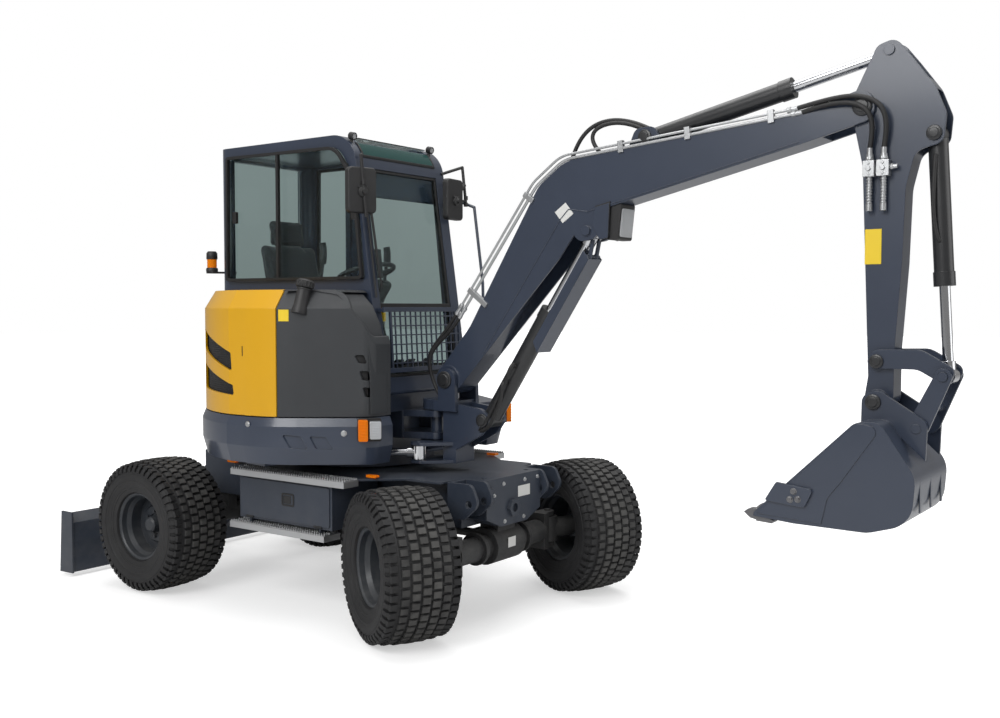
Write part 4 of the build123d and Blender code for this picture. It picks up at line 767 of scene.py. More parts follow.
planted = put(tread, "GeometryNodeInstanceOnPoints", {
    "Points": moved.outputs["Geometry"], "Instance": taper.outputs["Geometry"],
    "Rotation": stand.outputs["Rotation"]})
close_tree(tread, given, result, planted.outputs["Instances"])

# %% The four tyres: a turned carcass and its tread, joined
SPIN = {"front_right": "wheel_front_right_spin", "front_left": "wheel_front_left_spin",
        "rear_right": "wheel_rear_right_spin", "rear_left": "wheel_rear_left_spin"}
TYRE_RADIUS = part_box("tyre_rear_right")[1].z / 2
carcass = [(0.000, 0.380), (0.090, 0.3775), (0.140, 0.372), (0.165, 0.362), (0.183, 0.345), (0.190, 0.330),
           (0.1935, 0.329), (0.1945, 0.318), (0.1965, 0.316), (0.197, 0.300), (0.195, 0.285),
           (0.1935, 0.2845), (0.193, 0.272), (0.191, 0.270), (0.186, 0.245), (0.1845, 0.244),
           (0.182, 0.232), (0.180, 0.231), (0.176, 0.214), (0.1735, 0.2065), (0.166, 0.2035),
           (0.160, 0.2025), (0.158, 0.198), (0.150, 0.192)]


def add_tyre(work):
    """One carcass about the y axis, centred on the origin, open only at the rim."""
    ring = [(-a, r) for a, r in reversed(carcass[1:])] + carcass
    add_turned(work, ring, (0, 0, 0), (0, 1, 0), steps=72)
    for side in (-1, 1):
        for k in range(TREAD_ROWS):
            angle = 2 * math.pi * (k + (0.5 if side > 0 else 0.0)) / TREAD_ROWS
            spot = Matrix.Rotation(angle, 4, "Y")
            rib = [(0.184, 0.3655), (0.1955, 0.349), (0.1985, 0.333), (0.190, 0.327), (0.176, 0.350)]
            low, high = [], []
            for a, r in rib:
                low.append(work.verts.new(spot @ Vector((-0.012, side * a, r))))
                high.append(work.verts.new(spot @ Vector((0.012, side * a, r))))
            work.faces.new(low)
            work.faces.new(high)
            for k2 in range(len(rib)):
                n = (k2 + 1) % len(rib)
                work.faces.new((low[k2], low[n], high[n], high[k2]))


for corner, spin in SPIN.items():
    hub, axle = pins[spin], axes[spin]
    rubber = tyre_finish("tyre rubber " + corner.replace("_", " "), tuple(hub), tuple(axle))
    blocks = grow(tread, {"Radius": TYRE_RADIUS, "Finish": rubber, "Width": 0.322})
    work = bmesh.new()
    add_tyre(work)
    bmesh.ops.recalc_face_normals(work, faces=work.faces)
    work.from_mesh(blocks)
    place = Matrix.Translation(hub) @ Vector((0, 1, 0)).rotation_difference(axle).to_matrix().to_4x4()
    bmesh.ops.transform(work, matrix=place, verts=work.verts)
    mesh = bpy.data.meshes.new("tyre")
    work.to_mesh(mesh)
    work.free()
    tyre = finish_mesh("tyre_dressed_" + corner, mesh, rubber, "wheel_" + corner, "tyre", smooth=35)
    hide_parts("tyre_" + corner)
    print(tyre.name, "faces", len(mesh.polygons))

# %% [markdown]
# ## The cab
# Each window gets a rubber seal, because a pane never meets sheet metal bare. The seal is a flat
# ring cut from the same outline as the opening, and the sliding side window has an upright
# between its two halves.

# %% Window seals, the window's upright and its latches
RIGHT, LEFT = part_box("cab_frame")[0].y, 0.345
side_window = [(-0.722, 1.852, 0.02), (-0.712, 2.600, 0.02), (0.200, 2.590, 0.13), (0.340, 2.400, 0.10),
               (0.398, 1.850, 0.02)]
side_inner = [(-0.705, 1.869, 0.012), (-0.696, 2.583, 0.012), (0.192, 2.573, 0.12), (0.325, 2.395, 0.09),
              (0.381, 1.867, 0.012)]
rear_window = [(-0.722, 1.852, 0.02), (-0.712, 2.600, 0.02), (-0.440, 2.600, 0.02), (-0.440, 1.852, 0.02)]
rear_inner = [(-0.705, 1.869, 0.012), (-0.696, 2.583, 0.012), (-0.457, 2.583, 0.012),
              (-0.457, 1.869, 0.012)]
door_window = [(-0.345, 1.600, 0.05), (-0.345, 2.545, 0.05), (0.165, 2.545, 0.12), (0.285, 2.350, 0.10),
               (0.395, 1.340, 0.05), (-0.095, 1.340, 0.05)]
door_inner = [(-0.328, 1.617, 0.04), (-0.328, 2.528, 0.04), (0.157, 2.528, 0.11), (0.269, 2.345, 0.09),
              (0.377, 1.357, 0.04), (-0.090, 1.357, 0.04)]
work = bmesh.new()
add_plate(work, side_window, RIGHT + 0.001, RIGHT + 0.021, holes=[rounded(side_inner)])
add_plate(work, rear_window, LEFT - 0.021, LEFT - 0.001, holes=[rounded(rear_inner)])
add_plate(work, oblong(-0.279, -0.261, 1.868, 2.584), RIGHT + 0.004, RIGHT + 0.024)
for x, z in ((-0.655, 2.235), (0.322, 2.215)):
    add_plate(work, oblong(x - 0.017, x + 0.017, z - 0.035, z + 0.035, 0.008), RIGHT + 0.016, RIGHT + 0.034)
finish_piece("window_seals", work, seal_black_and_painted_shade, "house", bevel=0.0015)
work = bmesh.new()
add_plate(work, door_window, LEFT - 0.019, LEFT + 0.001, holes=[rounded(door_inner)])
finish_piece("door_window_seal", work, seal_black_and_painted_shade, "door", bevel=0.0015)


# %% The windscreen's frame, its divider and the wiper
SCREEN_FOOT_X, SCREEN_FOOT_Z, SCREEN_LEAN = 0.525, 1.212, 0.212 / 1.443


def on_screen(z, off=0.0):
    """The x of the cab's leaning front face at height z, off metres in front of it."""
    return SCREEN_FOOT_X - SCREEN_LEAN * (z - SCREEN_FOOT_Z) + off


def leaning_plate(work, y0, y1, z0, z1, near, far):
    """A flat bar in the plane of the windscreen, between two distances from it."""
    add_plate(work, [(on_screen(z0, near), z0), (on_screen(z0, far), z0), (on_screen(z1, far), z1),
                     (on_screen(z1, near), z1)], y0, y1)


work = bmesh.new()
for y in (RIGHT + 0.065, LEFT - 0.091):
    leaning_plate(work, y, y + 0.016, 1.312, 2.468, -0.030, -0.004)
for z in (1.311, 1.692, 2.452):
    leaning_plate(work, RIGHT + 0.066, LEFT - 0.076, z, z + (0.026 if z == 1.692 else 0.016), -0.030,
                  -0.003)
finish_piece("windscreen_seal", work, seal_black_and_painted_shade, "house", bevel=0.002)
work = bmesh.new()
pivot = Vector((on_screen(2.40, 0.012), RIGHT + 0.080, 2.40))
tip = Vector((on_screen(1.86, 0.010), RIGHT + 0.100, 1.86))
add_turned(work, [(0, 0), (0, 0.020), (0.030, 0.020), (0.036, 0.014), (0.036, 0)],
           pivot - Vector((0.03, 0, 0)), (1, 0, 0))
add_line(work, [pivot, pivot.lerp(tip, 0.5) + Vector((0.012, -0.004, 0)), tip], 0.006)
blade_low, blade_high = tip.lerp(pivot, -0.1), tip.lerp(pivot, 0.75)
add_line(work, [blade_low + Vector((-0.004, 0.012, 0)), blade_high + Vector((-0.004, 0.014, 0))], 0.0055,
         order=2)
add_line(work, [pivot, (on_screen(2.30, 0.010), RIGHT + 0.058, 2.30),
                (on_screen(2.0, 0.012), RIGHT + 0.062, 2.0),
                (on_screen(1.75, 0.010), RIGHT + 0.058, 1.75)], 0.005)
finish_piece("wiper", work, black_plastic, "house")

# %% Inside the cab: steering column and wheel, pedals, levers, a display and the trim
work = bmesh.new()
add_turned(work, [(0, 0), (0, 0.045), (0.03, 0.038), (0.50, 0.030), (0.62, 0.032), (0.64, 0.020),
                  (0.64, 0)], (0.26, -0.05, 1.252), (-0.30, 0, 1.0))
wheel_centre = Vector((0.066, -0.05, 1.900))
wheel_turn = Vector((-0.30, 0, 1.0)).to_track_quat("Z", "Y").to_matrix()
ring = [wheel_centre + wheel_turn @ Vector((u, v, 0)) for u, v in disc(0.0, 0.0, 0.165, 24)]
ring.append(ring[0])
add_line(work, ring, 0.014, order=3)
for k in range(3):
    angle = 2 * math.pi * k / 3 + 0.5
    add_bar(work, wheel_centre - Vector((-0.006, 0, 0.02)),
            wheel_centre + wheel_turn @ Vector((0.16 * math.cos(angle), 0.16 * math.sin(angle), 0)), 0.009,
            steps=10)
for y in (-0.20, -0.10, 0.06):
    add_plate(work, [(0.34, 1.31), (0.42, 1.40), (0.428, 1.395), (0.35, 1.30)], y, y + 0.07)
    add_bar(work, (0.40, y + 0.035, 1.253), (0.39, y + 0.035, 1.37), 0.009, steps=10)
add_line(work, [(-0.02, -0.325, 1.95), (-0.005, -0.325, 2.00), (-0.02, -0.325, 2.065)], 0.021)
add_line(work, [(-0.02, 0.225, 1.95), (-0.005, 0.225, 2.00), (-0.02, 0.225, 2.065)], 0.021)
add_plate(work, [(0.30, 1.86, 0.01), (0.30, 2.02, 0.02), (0.315, 2.03, 0.01), (0.335, 1.86, 0.01)], -0.335,
          -0.20)
add_bar(work, (0.36, -0.27, 1.70), (0.318, -0.27, 1.90), 0.010, steps=10)
finish_piece("cab_controls", work, trim_grey, "house", bevel=0.0015)
work = bmesh.new()
add_plate(work, [(-0.76, 1.50, 0.03), (-0.76, 1.84, 0.03), (-0.66, 1.84, 0.06), (-0.60, 1.50, 0.03)],
          RIGHT + 0.045, LEFT - 0.045)
add_box(work, (-0.20, RIGHT + 0.045, 1.2525), (0.46, LEFT - 0.045, 1.262))
finish_piece("cab_floor_mat_and_rear_trim", work, trim_grey, "house", bevel=0.004)

# %% [markdown]
# ### The padded seat
# A cushion made by hand looks like a box, so cloth does the shaping. A slightly small copy of the
# seat's own solids is remeshed fine, blown up a little by pressure, and then smoothed.

# %% Blow up the cushions
SHRINK, LAST_FRAME, MOST_MOVE = 0.975, 20, 0.012
source = nodes["seat_cushions"].data.copy()
source.transform(nodes["seat_cushions"].matrix_world)
work = bmesh.new()
work.from_mesh(source)
centre = sum((v.co for v in work.verts), Vector()) / len(work.verts)
for vert in work.verts:
    vert.co = centre + (vert.co - centre) * SHRINK
work.to_mesh(source)
work.free()
cushion = bpy.data.objects.new("padded_seat", source)
bpy.context.collection.objects.link(cushion)
remesh = cushion.modifiers.new("even skin", "REMESH")
remesh.mode = "VOXEL"
remesh.voxel_size = 0.006
rest = bpy.data.meshes.new_from_object(cushion.evaluated_get(bpy.context.evaluated_depsgraph_get()))
cushion.modifiers.clear()
cushion.data = rest
before = [v.co.copy() for v in rest.vertices]
cloth = cushion.modifiers.new("blown up", "CLOTH")
cloth.settings.use_pressure = True
cloth.settings.uniform_pressure_force = 4.0
cloth.settings.effector_weights.gravity = 0.0
cloth.point_cache.frame_start, cloth.point_cache.frame_end = 1, LAST_FRAME
for frame_at in range(1, LAST_FRAME + 1):
    bpy.context.scene.frame_set(frame_at)
blown = bpy.data.meshes.new_from_object(cushion.evaluated_get(bpy.context.evaluated_depsgraph_get()))
for vert, was in zip(blown.vertices, before):
    move = vert.co - was
    if move.length > MOST_MOVE:
        vert.co = was + move.normalized() * MOST_MOVE
cushion.modifiers.clear()
cushion.data = blown
bpy.context.scene.frame_set(1)
smooth = cushion.modifiers.new("fine skin", "SUBSURF")
smooth.levels = smooth.render_levels = 1
cushion.data.materials.clear()
cushion.data.materials.append(seat_cloth)
for face in cushion.data.polygons:
    face.use_smooth = True
    face.material_index = 0
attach(cushion, "house")
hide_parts("seat_cushions")
print("seat faces:", len(cushion.data.polygons))

# %% [markdown]
# ### Lamps, mirrors and the beacon
# A lamp is a black housing, a lens in front of it and a rim round the lens. Thin bars on the
# front of each lens stand for its ribs.

# %% Direction and position lamps on both front corners
def turned_frame(origin, degrees):
    """A matrix that stands a piece at origin, turned about the upright."""
    return Matrix.Translation(origin) @ Matrix.Rotation(math.radians(degrees), 4, "Z")


def set_in_place(work, start, matrix):
    """Move what was added since vert number start."""
    work.verts.ensure_lookup_table()
    bmesh.ops.transform(work, matrix=matrix, verts=work.verts[start:])


housings, ambers, clears = bmesh.new(), bmesh.new(), bmesh.new()
for side in (-1, 1):
    stand = turned_frame((0.594, side * 0.608, 1.050), side * 42.0)
    starts = [len(w.verts) for w in (housings, ambers, clears)]
    add_plate(housings, oblong(-0.062, 0.066, -0.062, 0.062, 0.01),
              -0.009, 0.0, "yz")
    add_plate(housings, oblong(-0.061, -0.007, -0.059, 0.059, 0.008),
              0.0, 0.016, "yz")
    add_plate(housings, oblong(-0.001, 0.063, -0.049, 0.049, 0.008),
              0.0, 0.014, "yz")
    add_plate(ambers, oblong(-0.059, -0.009, -0.057, 0.057, 0.008),
              0.016, 0.044, "yz")
    add_plate(clears, oblong(0.001, 0.061, -0.047, 0.047, 0.008),
              0.014, 0.038, "yz")
    for k in range(7):
        z = -0.042 + 0.0135 * k
        add_box(clears, (0.0385, 0.003, z), (0.0405, 0.059, z + 0.006))
        add_box(ambers, (0.0445, -0.056, z * 1.2), (0.0465, -0.012, z * 1.2 + 0.006))
    for w, start in zip((housings, ambers, clears), starts):
        set_in_place(w, start, stand)
BEACON = (-0.885, -0.415)
for y in (RIGHT + 0.062, LEFT - 0.060):
    add_turned(housings, [(0, 0), (0, 0.018), (0.004, 0.0215), (0.034, 0.0215), (0.038, 0.018),
                          (0.032, 0.016), (0.032, 0)], (0.262, y, 2.648), (0.038, 0, -0.008))
    add_bar(housings, (0.272, y, 2.600), (0.272, y, 2.645), 0.009, steps=12)
    add_turned(clears, [(0, 0), (0, 0.016), (0.003, 0.014), (0.005, 0)], (0.293, y, 2.642),
               (0.038, 0, -0.008))
add_turned(housings, [(0, 0), (0, 0.036), (0.018, 0.036), (0.024, 0.031), (0.024, 0)], (*BEACON, 1.916),
           (0, 0, 1), steps=32)
add_turned(housings, [(0, 0), (0, 0.031), (0.004, 0.034), (0.038, 0.033), (0.050, 0.024), (0.050, 0)],
           (*BEACON, 1.991), (0, 0, 1), steps=32)
add_plate(housings, [(-0.8145, -0.330), (-0.8145, -0.280), (-0.915, -0.390), (-0.915, -0.440, 0.01),
                     (-0.855, -0.440, 0.01)], 1.905, 1.916, "xy")
finish_piece("lamp_housings", housings, black_plastic, "house", bevel=0.0012)
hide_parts("lamps")
ribs = [(0.0, 0.0), (0.0, 0.0285)] + [(0.006 + 0.008 * k,
                                       0.0285 + (0.0012 if k % 2 else 0)) for k in range(6)]
add_turned(ambers, ribs + [(0.0515, 0.0285), (0.0515, 0.0)], (*BEACON, 1.940), (0, 0, 1), steps=32)
finish_piece("amber_lenses", ambers, amber_lens, "house", bevel=0.0012)
finish_piece("clear_lenses", clears, clear_lens, "house", bevel=0.0010)

# %% Mirror glasses and the clamps behind them
glass, clamps = bmesh.new(), bmesh.new()
for centre, degrees, clamp in (((0.480, -0.535, 2.320), -17.5, (0.503, -0.539, 2.340)),
                               ((0.420, 0.335, 2.343), 6.0, (0.418, 0.462, 2.343))):
    stand = turned_frame(centre, degrees)
    start = len(glass.verts)
    add_plate(glass, oblong(-0.077, 0.077, -0.113, 0.113, 0.02),
              -0.016, -0.0128, "yz")
    set_in_place(glass, start, stand)
    start = len(clamps.verts)
    add_turned(clamps, [(0, 0), (0, 0.030), (0.010, 0.028), (0.016, 0.016), (0.030, 0.014), (0.030, 0)],
               (0.0185, 0, -0.01), (1, 0, 0))
    for y in (-0.024, 0.024):
        add_turned(clamps, [(0, 0), (0, 0.007), (0.008, 0.006), (0.008, 0)], (0.0185, y, 0.014), (1, 0, 0),
                   steps=10)
    set_in_place(clamps, start, stand)
    for dz in (-0.02, 0.02):
        add_turned(clamps, [(-0.012, 0), (-0.012, 0.013), (0.012, 0.013), (0.012, 0)],
                   Vector(clamp) + Vector((0, 0, dz)), (0, 0, 1), steps=12)
finish_piece("mirror_glasses", glass, mirror_face, "house")
finish_piece("mirror_clamps", clamps, black_plastic, "house", bevel=0.001)
print("cab dressed")

# %% [markdown]
# ## The engine hood and the side panel
# Behind each opening in the hood lies a woven grille. Its wires run in two slanting families
# round the same circle as the hood, a little further in, so the sheet hides their ends. The roof
# pane and the cover beside the cab are bent sheets, each a run of sections joined into a solid.

# %% Grilles behind the vents
work = bmesh.new()
GRILLE_R = 0.9035
for family in (-1, 1):
    for k in range(-24, 96):
        points = []
        for step in range(7):
            z = 1.215 + 0.37 * step / 6
            along_arc = -0.58 + 0.012 * k + family * 0.5 * (z - 1.40)
            if -0.60 < along_arc < -0.10:
                points.append((along_arc, -math.sqrt(GRILLE_R ** 2 - along_arc ** 2), z))
        if len(points) > 1:
            add_line(work, points, 0.0022, order=2, sides=0)
finish_piece("vent_grilles", work, black_plastic, "hood", smooth=30)
# A black sheet behind the grilles is painted shade for the dark inside of the hood.
work = bmesh.new()
outer = [(GRILLE_R * 0.985 * math.cos(a), GRILLE_R * 0.985 * math.sin(a)) for a in
         (math.radians(232 + 31 * k / 12) for k in range(13))]
inner = [(x * 0.985, y * 0.985) for x, y in reversed(outer)]
add_plate(work, outer + inner, 1.205, 1.60, "xy")
finish_piece("painted_shade_behind_the_grilles", work, seal_black_and_painted_shade, "hood")
# A black sheet behind the side panel's vents is painted shade for the dark space inside.
work = bmesh.new()
add_plate(work, [(0.440, -0.680), (0.530, -0.614), (0.560, -0.575), (0.540, -0.560), (0.440, -0.620)], 1.19,
          1.46, "xy")
finish_piece("painted_shade_behind_the_panel_vents", work, seal_black_and_painted_shade, "house")

# %% The bent pane over the front edge of the roof
roof_line = [(0.150, 2.6150), (0.235, 2.6150), (0.262, 2.6140), (0.2750, 2.6125), (0.2833, 2.6106),
             (0.2904, 2.6035), (0.3039, 2.5878), (0.3144, 2.5727), (0.3245, 2.5545), (0.3299, 2.5419)]


def bent_sheet(work, line, y0, y1, thick):
    """A sheet that follows a line of (x, z) points, between two values of y."""
    rows = []
    for x, z in line:
        rows.append([work.verts.new(c) for c in ((x, y0, z), (x, y1, z),
                                                 (x - thick * 0.6, y1, z - thick * 0.8),
                                                 (x - thick * 0.6, y0, z - thick * 0.8))])
    join_rows(work, rows)


work = bmesh.new()
bent_sheet(work, roof_line, -0.352, 0.252, 0.004)
finish_piece("roof_pane", work, roof_pane_finish, "house", smooth=60)
work = bmesh.new()
for y0, y1 in ((-0.364, -0.3525), (0.2525, 0.264)):
    bent_sheet(work, [(x + 0.001, z + 0.001) for x, z in roof_line], y0, y1, 0.006)
bent_sheet(work, [(x + 0.001, z + 0.001) for x, z in [(0.3303, 2.5412), (0.3345, 2.5290)]], -0.364, 0.264,
           0.006)
finish_piece("roof_pane_seal", work, seal_black_and_painted_shade, "house", smooth=60)

# %% The bent cover between the side panel and the cab
def plan_edge(x, inset):
    """How far out the house reaches at x, drawn in by inset."""
    side, front = 0.933 - inset, 0.612 - inset
    slope = (side - 0.585) / (front - 0.150)
    if x < 0.283:
        return -math.sqrt(max(0.0, (0.945 - inset) ** 2 - x * x)) if x > 0.2 else -side
    return max(-side + (x - 0.150) * slope, -side)


work = bmesh.new()
bend = [(0.20, 1.782), (0.32, 1.781), (0.42, 1.762), (0.49, 1.700), (0.545, 1.600), (0.575, 1.480),
        (0.588, 1.340), (0.590, 1.130)]
rows = []
for (x, z), (nx, nz) in zip(bend, bend[1:] + [(0.590, 1.10)]):
    inset = 0.034 + 0.060 * max(0.0, (z - 1.690) / 0.100) + 0.004
    outer_y = plan_edge(min(x, 0.565), inset)
    across = Vector((nz - z, 0, x - nx)).normalized() * 0.004
    rows.append([Vector((x, RIGHT - 0.013, z)), Vector((x, outer_y, z)), Vector((x, outer_y, z)) - across,
                 Vector((x, RIGHT - 0.013, z)) - across])
join_rows(work, [[work.verts.new(p) for p in row] for row in rows])
finish_piece("cover_beside_the_cab", work, panel_charcoal, "house", smooth=50)

# %% The filler neck with its ribbed cap, and the hood's lock
foot, mouth = Vector((0.280, -0.803, 1.660)), Vector((0.290, -0.770, 1.800))
lean = (mouth - foot).normalized()
work = bmesh.new()
add_turned(work, [(0, 0), (0.0, 0.043), (0.028, 0.043), (0.040, 0.038), (0.128, 0.036), (0.132, 0.040),
                  (0.138, 0.040), (0.138, 0)], foot + lean * 0.002, lean, steps=32)
add_turned(work, [(0, 0), (0, 0.043), (0.004, 0.046), (0.034, 0.045), (0.042, 0.036), (0.042, 0)], mouth,
           lean, steps=32)
turn = lean.to_track_quat("Z", "Y").to_matrix()
for u, v in disc(0.0, 0.0, 0.0455):
    rib = mouth + turn @ Vector((u, v, 0.003))
    add_bar(work, rib, rib + lean * 0.030, 0.0032, steps=8)
finish_piece("filler_neck_and_cap", work, black_plastic, "house", bevel=0.001)
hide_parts("filler_neck")
work = bmesh.new()
add_plate(work, oblong(-0.056, -0.026, 1.422, 1.500, 0.012),
          -0.9105, -0.9020)
finish_piece("hood_lock", work, seal_black_and_painted_shade, "hood", bevel=0.001)
print("hood dressed")

# %% [markdown]
# ## The digging gear
# Each pin ends in a flat collar with a low dome. The heads are turned pieces set at the pins of
# the joints themselves, so they sit true however the frame changes.

# %% Pin heads
def pin_head(work, x, z, y, side, radius):
    """A collar with a dome on the outside of a plate; side is -1 on the right."""
    add_turned(work, [(-0.002, 0), (-0.002, radius * 1.5), (0.005, radius * 1.5), (0.007, radius * 1.3),
                      (0.007, radius), (0.012, radius * 0.92),
                      (0.013, 0)], (x, y, z), (0, side, 0), steps=24)


GEAR_Y = -0.050
heads = {
    # body: (joint whose pin it is, half width over the plates, pin radius)
    "swing_post": [("boom_lift", 0.108, 0.032), ("boom_barrel_hinge", 0.082, 0.025)],
    "boom": [("arm_curl", 0.078, 0.028), ("arm_barrel_hinge", 0.068, 0.023)],
    "arm": [("bucket_barrel_hinge", 0.058, 0.021), ("rocker_hinge", 0.083, 0.020),
            ("bucket_curl", 0.124, 0.022)],
}
for carrier, table in heads.items():
    work = bmesh.new()
    for joint, half, radius in table:
        x, z = pins[joint].x, pins[joint].z
        for side in (-1, 1):
            pin_head(work, x, z, GEAR_Y + side * (half + 0.004), side, radius)
    finish_piece(f"pin_heads_on_{carrier}", work, barrel_black, carrier, bevel=0.0008)

# %% Weld seams along the upper edges of the boom's plates
def seam(work, points, radius=0.0035):
    """A bead laid along an edge."""
    line = []
    for start, end in zip(points, points[1:]):
        a, b = Vector(start), Vector(end)
        count = max(2, int((b - a).length / 0.012))
        line += [a.lerp(b, k / count) for k in range(count)]
    line.append(Vector(points[-1]))
    add_line(work, line, radius, order=2, sides=1)


boom_face = GEAR_Y - 0.078
work = bmesh.new()
for side in (-1, 1):
    y = GEAR_Y + side * 0.0785
    seam(work, [(0.985, y, 1.440), (1.480, y, 2.143), (1.530, y, 2.193), (1.640, y, 2.176),
                (2.730, y, 2.426)])
finish_piece("boom_weld_seams", work, slate_paint, "boom", smooth=60)

# %% The cover that runs with the boom cylinder's rod
base, eye = pins["boom_barrel_hinge"], Vector((1.636, -0.050, 2.081))
run = (base - eye).normalized()
side_way = Vector((run.z, 0, -run.x))
if side_way.x < 0:
    side_way = -side_way
work = bmesh.new()


def cover_point(distance, off, y):
    return eye + run * distance + side_way * off + Vector((0, y - eye.y, 0))


for y0, y1, near, far in ((-0.116, -0.112, 0.030, 0.082), (0.012, 0.016, 0.030, 0.082),
                          (-0.116, 0.016, 0.078, 0.082)):
    corners = [(0.115, far), (0.095, near), (0.655, near), (0.690, far)] if far - near > 0.01 else \
        [(0.115, near), (0.115, far), (0.690, far), (0.690, near)]
    lower = [work.verts.new(cover_point(d, o, y0)) for d, o in corners]
    upper = [work.verts.new(cover_point(d, o, y1)) for d, o in corners]
    work.faces.new(lower)
    work.faces.new(list(reversed(upper)))
    for k in range(4):
        n = (k + 1) % 4
        work.faces.new((lower[k], lower[n], upper[n], upper[k]))
add_bar(work, cover_point(0.115, 0.060, -0.112), cover_point(0.115, 0.060, 0.012), 0.012)
for y in (-0.085, -0.022):
    add_bar(work, cover_point(0.03, 0.035, y), cover_point(0.12, 0.070, y), 0.011)
finish_piece("rod_cover", work, slate_paint, "boom_rod", bevel=0.0012)

# %% The work light's lens and guard bars
work = bmesh.new()
add_plate(work, [(-0.110, 2.045, 0.012), (0.010, 2.045, 0.012), (0.010, 2.185, 0.012),
                 (-0.110, 2.185, 0.012)], 0.0, 0.004, "yz")
lens_turn = Matrix.Translation((1.8125, 0, 2.031)) @ Matrix.Rotation(math.radians(6.3), 4,
    "Y") @ Matrix.Translation((0.0005, 0, -2.031))
set_in_place(work, 0, lens_turn)
finish_piece("work_light_lens", work, clear_lens, "boom")
work = bmesh.new()
for side in (-1, 1):
    y = GEAR_Y + side * 0.0842
    add_plate(work, [(1.672, 2.110), (1.690, 2.195), (1.770, 2.212), (1.764, 2.040, 0.012),
                     (1.716, 2.033, 0.012)], *sorted((y, y + side * 0.002)))
finish_piece("work_light_guard_plates", work, slate_paint, "boom", bevel=0.001)

# %% Ferrules at both ends of the steel pipes
work = bmesh.new()
for rise, radius in ((0.0, 0.008), (0.020, 0.0065)):
    low_end = Vector((0.865 - rise, -0.127, 1.690 + rise))
    down = Vector((-0.60, 0, -0.80)).normalized()
    add_turned(work, [(-0.004, 0), (-0.004, 0.013), (0.014, 0.013), (0.016, 0.0105), (0.046, 0.0105),
                      (0.050, 0.012), (0.066, 0.012), (0.066,
                                                       0)], low_end, down, steps=6 if rise == 0.0 else 12)
    far_end = Vector((2.698 - rise, -0.127, 2.551 + rise))
    add_turned(work, [(-0.004, 0), (-0.004, 0.013), (0.014, 0.013), (0.016, 0.0105), (0.046, 0.0105),
                      (0.046, 0)], far_end, (0.996, 0, 0.088), steps=12)
finish_piece("pipe_ferrules", work, zinc, "boom", bevel=0.0006)

# %% Hoses that stay on one body
def hose(name, paths, body, radius=0.0105):
    work = bmesh.new()
    for path in paths:
        add_line(work, path, radius, order=4, sides=3)
    finish_piece(name, work, hose_rubber, body, smooth=80)


hose("hoses_along_the_arm_cylinder", [
    [(1.70, -0.095, 2.463), (1.60, -0.09, 2.56), (1.72, -0.085, 2.635), (1.86, -0.080, 2.600),
     (1.95, -0.096, 2.556)],
    [(1.52, -0.085, 2.440), (1.56, -0.08, 2.57), (1.70, -0.075, 2.655), (1.86, -0.070, 2.615),
     (1.97, -0.096, 2.562)],
], "boom")
hose("bucket_cylinder_hoses", [
    [(3.300, -0.094, 2.330), (3.296, -0.102, 2.20), (3.292, -0.100, 2.08), (3.312, -0.096, 1.985),
     (3.322, -0.088, 1.970)],
], "bucket_barrel", 0.009)

# %% Hoses along the boom cylinder, and hoses that cross a joint
foot, run, out_of = Vector((0.961, 0, 1.045)), Vector((0.547, 0, 0.837)), Vector((0.837, 0, -0.547))


def beside_barrel(steps):
    """Points set out along the boom cylinder, away from it to the front, and across."""
    return [foot + run * along + out_of * away + Vector((0, y, 0)) for along, away, y in steps]


hose("hoses_on_the_boom_cylinder", [
    beside_barrel([(0.40, 0.000, -0.096), (0.425, 0.000, -0.130), (0.41, 0.005, -0.158),
                   (0.34, 0.012, -0.142),
                   (0.24, 0.018, -0.134), (0.12, 0.022, -0.134), (0.04, 0.030, -0.136),
                   (-0.02, 0.006, -0.128),
                   (-0.05, 0.000, -0.095)]),
    beside_barrel([(0.29, 0.002, -0.096), (0.315, 0.004, -0.130), (0.30, 0.012, -0.157),
                   (0.24, 0.034, -0.143),
                   (0.17, 0.048, -0.134), (0.10, 0.052, -0.134), (0.03, 0.058, -0.132),
                   (-0.03, 0.012, -0.126),
                   (-0.06, -0.010, -0.090)])], "boom_barrel")


def bending_hose(name, path, radius=0.0105):
    """A hose from one body to another; start and end are where it leaves each."""
    mesh = along_line(path, radius, order=4, sides=3)
    piece = bpy.data.objects.new(name, mesh)
    bpy.context.collection.objects.link(piece)
    mesh.materials.append(hose_rubber)
    for face in mesh.polygons:
        face.use_smooth = True
    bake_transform(piece)
    return piece


for k, (y, rise) in enumerate(((-0.127, 0.0), (-0.127, 0.020))):
    path = [(0.825 - rise, y, 1.637 + rise), (0.790 - rise, y, 1.590 + rise),
            (0.700 - rise, y + 0.010, 1.520), (0.600 - rise, y + 0.015 * k, 1.430),
            (0.610, y + 0.02, 1.300), (0.660, y + 0.02, 1.215), (0.690, y + 0.02, 1.178)]
    bending_hose(f"hose_from_post_to_boom_{k + 1}", path)
for k, (x, y) in enumerate(((3.042, -0.132), (3.101, -0.132))):
    rise = 0.020 * k
    path = [(2.742 - rise, -0.127, 2.555 + rise), (2.85, -0.145, 2.575 + rise),
            (2.97 + 0.03 * k, -0.160, 2.580 + 0.03 * k), (x + 0.02, -0.160, 2.520 + 0.02 * k),
            (x + 0.012, -0.140, 2.44), (x, y, 2.372)]
    bending_hose(f"hose_from_boom_to_arm_{k + 1}", path)

